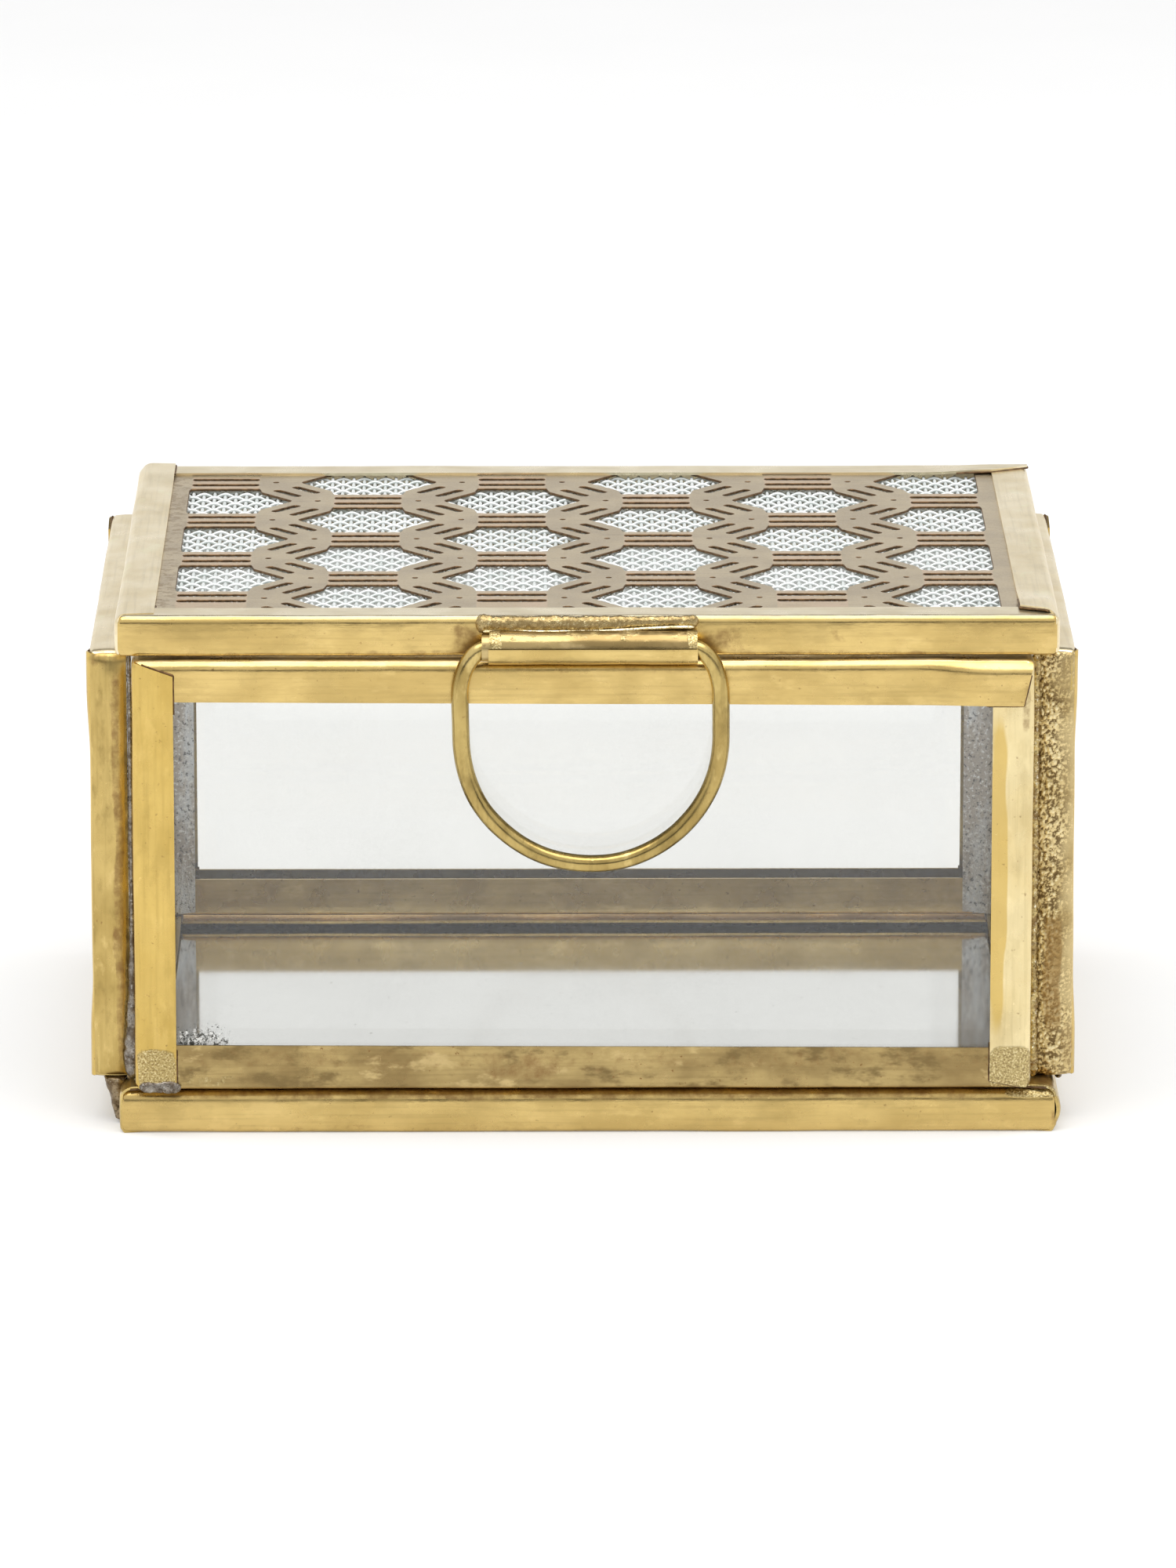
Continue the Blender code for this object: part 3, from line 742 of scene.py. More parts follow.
def bead(start, end, across, up, radii, taper=1.5, rough=0.18, seed=0.0, stations=110, sides=18,
         swell=None, grain=0.0, sag=None):
    """A lumpy run of solder along a line, tapered at both ends, grainy where asked."""
    start, end = np.array(start, float), np.array(end, float)
    across, up = np.array(across, float), np.array(up, float)
    length = np.linalg.norm(end - start)
    rings = []
    for step in range(stations + 1):
        share = station(step, stations, 0.6)
        middle = start + (end - start) * share
        if sag:
            middle = middle + np.array(sag(share))
        from_end = min(share, 1 - share) * length
        narrow = math.sqrt(max(0.0, 1 - (1 - min(1.0, from_end / taper)) ** 2))
        size = max(0.02, narrow) * (swell(share) if swell else 1.0)
        ring = []
        for turn in range(sides):
            a = 2 * math.pi * turn / sides
            offset = across * radii[0] * math.cos(a) + up * radii[1] * math.sin(a)
            here = middle + offset * size
            lumps = 1 + rough * 1.4 * wander(here, 2.2, seed) + rough * wander(here, 0.7, seed + 5)
            if grain:
                lumps += grain / max(radii) * grain_height(here, seed)
            ring.append(middle + offset * size * lumps)
        rings.append(ring)
    return swept(rings)


def solder_piece(name, mesh, look, body, node):
    return piece(name, *mesh, look, body, "solder", node, sharp=60.0)


# ---------------------------------------------------------------- lid filling

def fillet(outline, radius, steps=3):
    """The outline with its corners rounded."""
    points = []
    for index, corner in enumerate(outline):
        before, after = outline[index - 1], outline[(index + 1) % len(outline)]
        back, ahead = (before - corner), (after - corner)
        reach = min(radius, back.length * 0.45, ahead.length * 0.45)
        first, last = corner + back.normalized() * reach, corner + ahead.normalized() * reach
        for step in range(steps + 1):
            share = step / steps
            points.append(first.lerp(corner, share).lerp(corner.lerp(last, share), share))
    return points


def grown(outline, amount):
    """The outline, counterclockwise, moved outwards by an amount."""
    points = []
    for index, corner in enumerate(outline):
        back = (corner - outline[index - 1]).normalized()
        ahead = (outline[(index + 1) % len(outline)] - corner).normalized()
        normal = Vector((back.y + ahead.y, -back.x - ahead.x)).normalized()
        lean = max(0.5, normal.dot(Vector((back.y, -back.x))))
        points.append(corner + normal * amount / lean)
    return points


def rectangle(centre, length, width, slope):
    along = Vector((math.cos(slope), math.sin(slope))) * length / 2
    across = Vector((-math.sin(slope), math.cos(slope))) * width / 2
    middle = Vector(centre)
    return [middle - along - across, middle + along - across,
            middle + along + across, middle - along + across]


def opening(centre):
    right = [(OPENING_FLAT, -OPENING_HALF_HEIGHT), (JOG_HALF_WIDTH, -JOG_HALF_HEIGHT),
             (TIP_HALF_WIDTH, -TIP_HALF_HEIGHT), (TIP_HALF_WIDTH, TIP_HALF_HEIGHT),
             (JOG_HALF_WIDTH, JOG_HALF_HEIGHT), (OPENING_FLAT, OPENING_HALF_HEIGHT)]
    left = [(-x, -y) for x, y in right]
    return [Vector(centre) + Vector(point) for point in right + left]


def clip(outline, axis, limit, sign):
    """The part of an outline on one side of a line across the given axis."""
    kept = []
    for index, point in enumerate(outline):
        before = outline[index - 1]
        inside = sign * (limit - point[axis]) >= 0
        was_inside = sign * (limit - before[axis]) >= 0
        if inside != was_inside:
            kept.append(before.lerp(point, (limit - before[axis]) / (point[axis] - before[axis])))
        if inside:
            kept.append(point)
    return kept


def inside_pattern(outline):
    half_width = PATTERN_HALF_WIDTH + ROUNDING
    half_depth = PATTERN_HALF_DEPTH + ROUNDING
    return all(abs(x) <= half_width and abs(y) <= half_depth for x, y in outline)


def disc(centre, radius, sides=10):
    turns = [2 * math.pi * step / sides for step in range(sides)]
    return [Vector((centre[0] + radius * math.cos(a), centre[1] + radius * math.sin(a)))
            for a in turns]


def fretwork_holes():
    """Every opening, slot and dot of the fretwork, as round-cornered outlines."""
    holes = []
    columns = [(index - (COLUMNS - 1) / 2) * COLUMN_PITCH for index in range(COLUMNS)]
    for index, x in enumerate(columns):
        bar_shift = 0.0 if index % 2 else 0.5
        for row in range(-2, 3):
            cut = opening((x, (row + 0.5 + bar_shift) * ROW_PITCH + PATTERN_SHIFT))
            for axis, limit in ((0, PATTERN_HALF_WIDTH), (1, PATTERN_HALF_DEPTH)):
                cut = clip(cut, axis, limit, 1)
                cut = clip(cut, axis, -limit, -1)
            if len(cut) > 3:
                holes.append((cut, 0.9 if x > 0 and index == COLUMNS - 1 else 0.25))
            bar_y = (row + bar_shift) * ROW_PITCH + PATTERN_SHIFT
            for side in (-1, 1):
                slot = rectangle((x, bar_y + side * SLOT_OFFSET), BAR_SLOT_LENGTH,
                                 BAR_SLOT_WIDTH, 0.0)
                holes.append((slot, 0.5))
                holes.append((disc((x + side * DOT_REACH, bar_y), DOT_RADIUS), 0.02))
    across = Vector((-math.sin(LINK_SLOPE), math.cos(LINK_SLOPE))) * SLOT_OFFSET
    for index in range(COLUMNS - 1):
        middle_x = (columns[index] + columns[index + 1]) / 2
        for row in range(-4, 5):
            rising = 1 if (row + index) % 2 else -1
            middle = Vector((middle_x, (row + 0.5) * ROW_PITCH / 2 + PATTERN_SHIFT))
            for side in (-1, 1):
                centre = middle + Vector((rising * across.x, across.y)) * side
                slot = rectangle(centre, LINK_SLOT_LENGTH, LINK_SLOT_WIDTH, rising * LINK_SLOPE)
                holes.append((slot, 0.5))
    return [fillet(hole, radius) for hole, radius in holes if inside_pattern(hole)]


def plate_layer(border, holes, level, shape):
    """One flat skin of the plate, without its holes."""
    points, loops = [], []
    for outline in [border, *holes]:
        loops.append(range(len(points), len(points) + len(outline)))
        points += outline
    verts, _, faces, *_ = geometry.delaunay_2d_cdt(points, [], loops, 2, 1e-7)
    made = [shape.verts.new((x, y, level)) for x, y in verts]
    for face in faces:
        shape.faces.new([made[index] for index in face])


def plate_top():
    return box_mm("lid_channel")[1][2] - SHEET - PLATE_SINK


def fretwork(look, cut_shade_look):
    """The pierced plate, with softened upper edges and cut walls painted dark as shade."""
    low, high = box_mm("lid_fretwork")
    centre = (low + high) / 2
    border = rectangle((0, 0), high[0] - low[0], high[1] - low[1], 0.0)
    holes = fretwork_holes()
    shape = bmesh.new()
    top = plate_top() - centre[2]
    levels = (top, top - PLATE_BEVEL, top - PLATE_THICKNESS)
    top_holes = [grown(hole, PLATE_BEVEL) for hole in holes]
    plate_layer(border, top_holes, levels[0], shape)
    plate_layer(border, holes, levels[2], shape)
    skins = len(shape.faces)
    rings = [(border, border, border)]
    rings += list(zip(top_holes, holes, holes))
    for ring in rings:
        rows = [[shape.verts.new((x, y, level)) for x, y in outline]
                for outline, level in zip(ring, levels)]
        for upper, lower in zip(rows, rows[1:]):
            for index in range(len(upper)):
                after = (index + 1) % len(upper)
                shape.faces.new((upper[index], upper[after], lower[after], lower[index]))
    # The cut walls take the second look, painted dark as shade.
    for index, face in enumerate(shape.faces):
        face.material_index = 0 if index < skins else 1
    bmesh.ops.remove_doubles(shape, verts=shape.verts, dist=1e-4)
    bmesh.ops.recalc_face_normals(shape, faces=shape.faces)
    shape.verts.index_update()
    points = [np.array(vert.co) + centre for vert in shape.verts]
    faces = [tuple(vert.index for vert in face.verts) for face in shape.faces]
    picks = [face.material_index for face in shape.faces]
    shape.free()
    return piece("fretwork_plate", points, faces, [look, cut_shade_look], "lid", "fretwork_brass",
                 "lid_fretwork", sharp=20.0, picks=picks)


def woven_wires(count, pitch, other_pitch, half_length, direction, flip, centre):
    """Parallel wires that wave over and under the crossing ones."""
    points, faces = [], []
    steps = round(half_length / other_pitch * MESH_STEPS)
    for index in range(count):
        offset = (index - (count - 1) / 2) * pitch
        first = len(points)
        for step in range(steps + 1):
            run = (step / steps * 2 - 1) * half_length
            phase = math.pi * run / other_pitch + index * math.pi
            level = flip * MESH_WAVE * math.cos(phase)
            lean = -flip * MESH_WAVE * math.pi / other_pitch * math.sin(phase)
            lean /= math.hypot(1, lean)
            for turn in range(MESH_SIDES):
                a = 2 * math.pi * turn / MESH_SIDES
                side, rise = MESH_WIRE * math.cos(a), MESH_WIRE * math.sin(a)
                along = run - rise * lean
                place = (offset + side, along) if direction == "y" else (along, offset + side)
                points.append((centre[0] + place[0], centre[1] + place[1],
                               centre[2] + level + rise))
        faces += grid_faces(steps + 1, MESH_SIDES, first=first)
        last = first + steps * MESH_SIDES
        faces.append(tuple(range(first, first + MESH_SIDES)))
        faces.append(tuple(range(last, last + MESH_SIDES)))
    return points, faces


def wire_mesh(look):
    """Plain-woven wire cloth, as its warp and its weft."""
    low, high = box_mm("lid_wire_mesh")
    centre = (low + high) / 2
    centre[2] = plate_top() - PLATE_THICKNESS - MESH_WAVE - MESH_WIRE - MESH_GAP
    warps = 2 * int(MESH_HALF_WIDTH / WARP_PITCH) + 1
    wefts = 2 * int(MESH_HALF_DEPTH / WEFT_PITCH) + 1
    centre = centre + np.array(MESH_SHIFT)
    made = woven_wires(warps, WARP_PITCH, WEFT_PITCH, MESH_HALF_DEPTH, "y", 1, centre)
    piece("wire_mesh_warp", *made, look, "lid", "steel_wire", "lid_wire_mesh", sharp=80.0)
    made = woven_wires(wefts, WEFT_PITCH, WARP_PITCH, MESH_HALF_WIDTH, "x", -1, centre)
    piece("wire_mesh_weft", *made, look, "lid", "steel_wire", "lid_wire_mesh", sharp=80.0)


# ---------------------------------------------------------------- ring, barrel, hinge

def ring_line():
    """(x, z) points of the ring's middle line about the barrel's axis."""
    shoulder = RING_HALF_WIDTH - RING_BAR_HALF
    right = [(x, 0.0) for x in np.linspace(0, RING_BAR_HALF, 8)[:-1]]
    for step in range(15):
        a = math.radians(90 * step / 14)
        right.append((RING_BAR_HALF + shoulder * math.sin(a), -RING_SHOULDER * (1 - math.cos(a))))
    for step in range(1, 5):
        right.append((RING_HALF_WIDTH, -RING_SHOULDER - (RING_SIDE - RING_SHOULDER) * step / 5))
    foot = []
    for step in range(61):
        a = math.pi * step / 60
        foot.append((RING_HALF_WIDTH * math.cos(a), -RING_SIDE - RING_HALF_WIDTH * math.sin(a)))
    left = [(-x, z) for x, z in right[1:][::-1]]
    return right + foot + left


def pull_ring(look):
    low, high = box_mm("pull_ring")
    axis = np.array(((low[0] + high[0]) / 2, (low[1] + high[1]) / 2, high[2] - WIRE_RADIUS))
    line = ring_line()
    count = len(line)
    rings = []
    for index, (x, z) in enumerate(line):
        before, after = line[index - 1], line[(index + 1) % count]
        heading = Vector((after[0] - before[0], after[1] - before[1])).normalized()
        normal = np.array((-heading.y, 0.0, heading.x))
        here = axis + np.array((x, 0.0, z))
        sway = np.array((0.14 * wander(here, 9.0, 2.0), 0.0, 0.10 * wander(here, 8.0, 7.0)))
        here = here + sway * ease(-z / 6.0)
        ring = []
        for turn in range(RING_SIDES):
            a = 2 * math.pi * turn / RING_SIDES
            offset = normal * math.cos(a) + np.array((0.0, 1.0, 0.0)) * math.sin(a)
            size = RING_WIRE * (1 + 0.02 * wander(here + offset, 1.8, 4.0))
            ring.append(here + offset * size)
        rings.append(ring)
    points, faces = swept(rings, closed=True)
    return piece("pull_ring_wire", points, faces, look, "pull", "brass", "pull_ring", sharp=60.0)


def sheet_band(path, thickness, start, end, name, look, body, stands_for, seed=0.0, wave=0.04,
               stations=60, solder=(), tarnish=()):
    """A strip of sheet that follows a (y, z) path, drawn out along x with slight waviness."""
    points2 = [Vector(point) for point in path]
    normals = []
    for index, point in enumerate(points2):
        before = points2[max(0, index - 1)]
        after = points2[min(len(points2) - 1, index + 1)]
        heading = (after - before).normalized()
        normals.append(Vector((-heading.y, heading.x)))
    outer = [p + n * thickness / 2 for p, n in zip(points2, normals)]
    inner = [p - n * thickness / 2 for p, n in zip(points2, normals)]
    outline = list(zip(outer, normals)) + list(zip(inner, normals))[::-1]
    rings = []
    for step in range(stations + 1):
        share = station(step, stations, 0.4)
        x = start + (end - start) * share
        ring = []
        for point, normal in outline:
            shift = wave * wander((x, point.x, point.y), 3.5, seed)
            ring.append((x, point.x + normal.x * shift, point.y + normal.y * shift))
        rings.append(ring)
    points = [point for ring in rings for point in ring]
    marks = patch_marks(points, solder=solder, tarnish=tarnish)
    return piece(name, points, capped_strip(len(rings), len(rings[0])), look, body, "brass",
                 stands_for, marks=marks)


def arc(centre, radius, start, end, steps):
    """Points on a circle in (y, z), angles in degrees from +y towards +z."""
    angles = [math.radians(start + (end - start) * step / steps) for step in range(steps + 1)]
    return [(centre[0] + radius * math.cos(a), centre[1] + radius * math.sin(a)) for a in angles]


def joined(*meshes):
    """Several (points, faces) bodies as one."""
    points, faces = [], []
    for more, quads in meshes:
        first = len(points)
        points += more
        faces += [tuple(first + corner for corner in quad) for quad in quads]
    return points, faces


def barrel(looks):
    """The lap of sheet round the ring's bar, the tube inside it and the solder above them."""
    low, high = box_mm("pull_barrel")
    radius = (high[1] - low[1]) / 2
    centre = ((low[1] + high[1]) / 2, low[2] + radius)
    middle = radius - SHEET / 2
    left, right = low[0] + LAP_LEFT, high[0] + LAP_RIGHT
    lap = [(centre[0] + middle, high[2])]
    lap += [(centre[0] + middle, centre[1] + rise) for rise in LAP_RISE]
    lap += arc(centre, middle, 0, -186, 40)
    sheet_band(lap, SHEET, left, right, "pull_barrel_lap", looks["barrel_gold"], "lid",
               "pull_barrel", seed=3.0)
    top = arc(centre, middle + 0.05, 170, 32, 34)
    soldered = [((left, centre[0], centre[1] + 1.3), (1.6, 3.0, 1.6), 1.0),
                ((right, centre[0], centre[1] + 1.3), (1.2, 3.0, 1.2), 0.8),
                (((left + right) / 2, centre[0], centre[1] + 2.1), (13.0, 3.0, 1.15), 0.42)]
    sheet_band(top, SHEET + SHELL_EXTRA, left + 0.1, right - 0.05, "pull_barrel_top",
               looks["barrel_top"], "lid", "pull_barrel", seed=4.0, wave=0.09, stations=110,
               solder=soldered)
    inner = radius - SHEET - TUBE_GAP
    tube = arc(centre, inner - SHEET / 2, 60, -290, 56)
    sheet_band(tube, SHEET, left - 0.75, right - 0.1, "pull_barrel_tube",
               looks["barrel_inner"], "lid", "pull_barrel", seed=8.0)
    low, high = box_mm("pull_barrel_solder")
    y, z = (low[1] + high[1]) / 2 - 0.15, (low[2] + high[2]) / 2 - 0.15

    def body(share):
        return 1.02 - 0.34 * ease((share - 0.45) / 0.5)

    def swell(share):
        ends = max(ease(1 - share * 11), 0.8 * ease(1 - (1 - share) * 11))
        return body(share) + 0.28 * ends

    def sag(share):
        return 0.0, 0.0, 0.80 * (1.02 - body(share))

    def rim_line(share):
        lowest = -0.58 * body(share) + sag(share)[2] - 0.10
        return 0.0, -0.18 * math.sin(math.pi * share), lowest

    run = bead((low[0] - 1.0, y, z), (high[0] + 0.3, y, z), (0, 1, 0), (0, 0, 1), RUN_RADII,
               0.9, 0.10, 4.0, 420, 28, swell, 0.07, sag)
    # A thin lip along the solder's foot, in a near-white copy of the solder that paints its highlight.
    front = y - RIM_FORWARD
    rim = bead((low[0] - 0.2, front, z), (high[0] - 0.2, front, z), (0, 1, 0), (0, 0, 1),
               RIM_RADII, 0.5, 0.10, 9.0, 200, 12, None, 0.0, rim_line)
    solder_piece("pull_solder_run", run, looks["solder_gold"], "lid", "pull_barrel_solder")
    solder_piece("pull_solder_rim", rim, looks["solder_bright"], "lid", "pull_barrel_solder")


def knuckles(looks):
    """Rolled knuckles, leaf and pin of the hinge, and the solder that holds them."""
    for side in ("left", "right"):
        low, high = box_mm("hinge_knuckle_" + side)
        centre = ((low[1] + high[1]) / 2, (low[2] + high[2]) / 2)
        radius = (high[1] - low[1]) / 2
        path = arc(centre, radius - 0.2, 170, -186, 44)
        sheet_band(path, HINGE_SHEET, low[0], high[0], f"hinge_knuckle_{side}_tube", looks["brass_dull"],
                   "box", "hinge_knuckle_" + side, seed=5.0, wave=0.03)
        low, high = box_mm("hinge_solder_" + side)
        middle = (low + high) / 2
        run = bead((low[0], middle[1], middle[2]), (high[0], middle[1], middle[2]),
                   (0, 0.8, 0.6), (0, -0.6, 0.8), (0.55, 0.95), 1.2, 0.25, 6.0, 80)
        solder_piece(f"hinge_solder_{side}_run", run, looks["solder_grey"], "box",
                     "hinge_solder_" + side)
    low, high = box_mm("hinge_pin")
    centre = (low + high) / 2
    radius = (high[1] - low[1]) / 2
    domed = [(inset, radius * math.sqrt(max(0.02, 1 - (1 - inset / PIN_DOME) ** 2)))
             for inset in PIN_INSETS]
    ends = [(low[0] + inset, size) for inset, size in domed]
    ends += [(high[0] - inset, size) for inset, size in domed[::-1]]
    rings = [[(x, centre[1] + size * math.cos(2 * math.pi * t / PIN_SIDES),
               centre[2] + size * math.sin(2 * math.pi * t / PIN_SIDES))
              for t in range(PIN_SIDES)] for x, size in ends]
    points, faces = swept(rings)
    piece("hinge_pin_wire", points, faces, looks["brass_dull"], "box", "brass", "hinge_pin")
    low, high = box_mm("hinge_leaf_lid")
    axis = (centre[1], centre[2])
    radius = axis[1] - low[2] - 0.2
    tail = low[1] if abs(low[1] - axis[0]) > radius + 0.4 else axis[0] - radius
    tail = min(tail + 0.2, axis[0] - 0.2)
    path = [(tail, high[2]), (tail, high[2] - 1.0), (tail, axis[1] + radius + 0.35),
            (tail + 0.12, axis[1] + radius + 0.05)]
    path += arc(axis, radius, 112, -225, 44)
    sheet_band(path, HINGE_SHEET, low[0], high[0], "hinge_leaf_roll", looks["brass_dull"], "lid",
               "hinge_leaf_lid", seed=9.0, wave=0.03)
    low, high = box_mm("hinge_solder_lid")
    middle = (low + high) / 2
    level = low[2] - 0.1
    run = bead((low[0], middle[1], level), (high[0], middle[1], level),
               (0, 1, 0), (0, 0, 1), (0.36, 0.28), 1.0, 0.25, 12.0, 70)
    solder_piece("hinge_solder_lid_run", run, looks["solder_grey"], "lid", "hinge_solder_lid")


def corner_solder(looks):
    """Runs of solder in the upright grooves between the walls, and tacks under the side walls."""
    for end_name, end in (("front", -1), ("back", 1)):
        for side_name, side in (("left", -1), ("right", 1)):
            name = f"corner_solder_{end_name}_{side_name}"
            low, high = box_mm(name)
            x = (low[0] if side > 0 else high[0]) + side * 0.05
            y = (high[1] if end < 0 else low[1]) + end * 0.2
            beaded = side > 0 and end < 0

            def swell(share, beaded=beaded, side=side):
                thin, foot = (0.85, 0.2) if beaded else (0.45, 1.25)
                return thin + foot * ease(1 - share * 2.4) + 0.1 * wander((share * 30, 1, side), 3)
            diagonal = np.array((side, end, 0.0)) / math.sqrt(2)
            across = np.array((side, -end, 0.0)) / math.sqrt(2)
            run = bead((x, y, low[2] - 0.2), (x, y, high[2] + 0.2), across, diagonal,
                       (0.52, 0.50), 1.0, 0.22, 2.0 + side + end, 420 if beaded else 200, 22,
                       swell, 0.16 if beaded else 0.03)
            if end < 0 and side < 0:
                panel_low = box_mm("front_channel")[0]
                foot = (panel_low[0] + 0.4, panel_low[1] - 0.30, panel_low[2] + 0.45)
                blob = bead(foot, (foot[0] + 4.7, foot[1], foot[2] - 0.1), (0, 1, 0), (0, 0, 1),
                            (0.30, 0.62), 1.1, 0.2, 7.0, 120, 20, None, 0.08)
                run = joined(run, blob)
            # Dark solder in the grooves; its dark colour also paints the grooves' shade.
            look = looks["solder_beads"] if beaded else looks["solder_slate"]
            solder_piece(name + "_run", run, look, "box", name)
            name = f"base_solder_{end_name}_{side_name}"
            low, high = box_mm(name)
            x = low[0] if side > 0 else high[0]
            if side < 0 and end < 0:
                start = (x - 0.25, low[1] + 0.9, high[2] + 0.5)
                tack = bead(start, (x + 0.35, low[1] + 0.6, 0.25), (1, 0, 0), (0, 1, 0),
                            (1.35, 1.6), 0.35, 0.10, 5.0, 90, 20,
                            lambda share: 1.0 - 0.55 * share, 0.06)
            else:
                z = high[2] - 0.1
                tack = bead((x + side * 0.1, low[1] + 1.0, z), (x + side * 0.1, high[1] - 1.0, z),
                            (1, 0, 0), (0, 0, 1), (0.42, 0.36), 2.0, 0.3, 5.0 + side, 60)
            solder_piece(name + "_run", tack, looks["solder_brown"], "box", name)


# ---------------------------------------------------------------- panels

def make_looks():
    return {
        "gold_x": brass("brass_gold_level", (0.71, 0.52, 0.20), (0.58, 0.415, 0.15), 0, 0.26, 1.0),
        "gold_z": brass("brass_gold_upright", (0.67, 0.475, 0.145), (0.58, 0.40, 0.11), 2, 0.26, 2.0),
        "warm_x": brass("brass_warm_level", (0.48, 0.355, 0.15), (0.28, 0.195, 0.08), 0, 0.30, 3.0,
                        0.95, 0.95),
        # Paler, lit copies of the brass for faces turned up to the overhead light: painted light.
        "pale_x": brass("brass_pale_lit_level", (0.86, 0.76, 0.53), (0.79, 0.68, 0.46), 0, 0.30, 4.0,
                        0.2, 0.2),
        "pale_y": brass("brass_pale_lit_deep", (0.92, 0.80, 0.55), (0.84, 0.71, 0.45), 1, 0.32, 5.0,
                        0.2, 0.25),
        "web_left": brass("brass_left_web", (0.60, 0.44, 0.16), (0.44, 0.31, 0.10), 2, 0.26, 6.0,
                          0.6, 0.7),
        "pale_z": brass("brass_pale_upright", (0.79, 0.66, 0.37), (0.72, 0.57, 0.28), 2, 0.26, 7.0),
        "brass_y": brass("brass_deep", (0.66, 0.50, 0.19), (0.55, 0.40, 0.14), 1, 0.29, 8.0),
        "brass_dull": brass("brass_dull", (0.58, 0.44, 0.19), (0.44, 0.32, 0.13), 0, 0.34, 9.0),
        "ring_brass": brass("brass_wire", (0.56, 0.42, 0.155), (0.38, 0.27, 0.09), 2, 0.22, 10.0,
                            0.5, 0.8),
        "barrel_gold": brass("brass_barrel_lap", (0.70, 0.52, 0.20), (0.56, 0.40, 0.14), 0, 0.27,
                             12.0, 0.3, 0.6),
        "barrel_top": brass("brass_barrel_top", (0.46, 0.34, 0.15), (0.30, 0.21, 0.085), 0, 0.28,
                            13.0, 0.6, 0.8),
        "barrel_inner": brass("brass_barrel_tube", (0.56, 0.43, 0.20), (0.40, 0.29, 0.12), 0, 0.34,
                              11.0),
        # A paler copy for the back wall's lower inner flange, painting the light that falls on it.
        "pale_lit_inner": brass("brass_pale_lit_inner", (0.82, 0.63, 0.30), (0.68, 0.50, 0.21), 0, 0.30,
                        15.0, 0.6, 0.5),
        "seam": painted_shade_edge("seam_painted_shadow"),
        "spattered": spattered_brass(),
        "inside": soldered_inside(),
        "solder_grey": solder_metal("solder_grey", (0.46, 0.45, 0.42), (0.28, 0.25, 0.21), 1.0),
        "solder_slate": solder_metal("solder_slate", (0.30, 0.27, 0.23), (0.15, 0.12, 0.09), 2.0,
                                     0.34, (0.05, 0.04, 0.03), (0.50, 0.49, 0.46)),
        "solder_beads": solder_metal("solder_beads", (0.55, 0.42, 0.18), (0.26, 0.17, 0.07), 4.0,
                                     0.26, (0.07, 0.04, 0.015), (0.95, 0.90, 0.70)),
        "solder_gold": solder_metal("solder_golden", (0.44, 0.33, 0.15), (0.32, 0.23, 0.10), 5.0,
                                    0.26, (0.20, 0.13, 0.05), (0.74, 0.63, 0.37)),
        "solder_bright": solder_metal("solder_bright", (0.93, 0.86, 0.62), (0.78, 0.66, 0.38), 6.0,
                                      0.26, (0.40, 0.29, 0.13), (0.97, 0.94, 0.80)),
        "solder_brown": solder_metal("solder_brown", (0.30, 0.23, 0.14), (0.16, 0.11, 0.06), 3.0,
                                     0.36, (0.06, 0.04, 0.02), (0.46, 0.40, 0.30)),
    }


def front_frame(looks):
    front = Panel("front_channel", (1, 0, 0), (0, 0, 1))
    low, high = box_mm("front_channel")
    y = low[1]
    solder = [
        ((low[0] + 2.4, y, low[2] + 2.5), (2.3, 1.0, 2.6), 0.75),
        ((high[0] - 2.3, y, low[2] + 2.4), (2.35, 1.0, 2.75), 1.0),
        ((low[0] + 8.0, y, low[2] + 1.2), (4.0, 1.0, 0.9), 0.45),
    ]
    # Brown patches: the first and third are stains; the second band paints shade along the upper part of
    # the bottom strip, and the last paints the barrel's shadow on the top fold.
    tarnish = [
        ((-7.0, y, low[2] + 2.6), (4.5, 1.0, 1.6), 0.55),
        ((0.6, y, low[2] + 3.6), (49.0, 1.0, 1.5), 0.34),
        ((high[0] - 0.9, y, high[2] - 5.4), (0.5, 1.0, 2.8), 0.55),
        ((0.8, y, high[2] - 0.7), (13.0, 1.2, 0.6), 0.4),
    ]
    gilt = [((high[0] - 3.9, y, low[2] + 24.6), (0.95, 1.0, 17.0), 1.0)]
    sides = {"bottom": "warm_x", "right": "pale_z", "top": ("pale_x", "barrel_inner", "gold_x"),
             "left": "gold_z"}
    bound_frame("front_frame", front, looks, sides,
                solder=solder, tarnish=tarnish, gilt=gilt, radius=0.8, seed=1.0, inner_face=3.3,
                own={"top": {"radius": 1.35, "flare": (0.55, 0.0), "wave": 0.10, "seam": 5},
                     "bottom": {"flare": (0.55, 0.1), "radius": 0.7}},
                ends=[("left", 0, (0.0, 0.36, 0.0), LAP), ("left", 1, (0.0, 0.05, 0.0), LAP),
                      ("top", 0, (0.0, 0.26, 0.0), LAP + 0.15),
                      ("right", 0, (0.0, 0.2, 0.0), LAP)])


def side_cover(x_from, x_to, z_from, z_to):
    """How thickly splashed solder covers the right wall's front web at a point."""
    def cover(point):
        across = (point[0] - x_from) / (x_to - x_from)
        up = (point[2] - z_from) / (z_to - z_from)
        near_groove = ease(1.45 - 1.45 * across + 0.4 * wander(point, 3.0, 5.0))
        foot = 0.75 * ease(1 - up * 2.8)
        flow = ease(0.5 + 1.6 * wander((point[0], point[1], point[2] / 3), 2.2, 8.0))
        fade = 0.65 + 0.35 * ease(up * 2.0)
        return min(1.0, 0.30 + fade * near_groove * (0.65 + 0.35 * flow) + foot * flow * 0.5)
    return cover


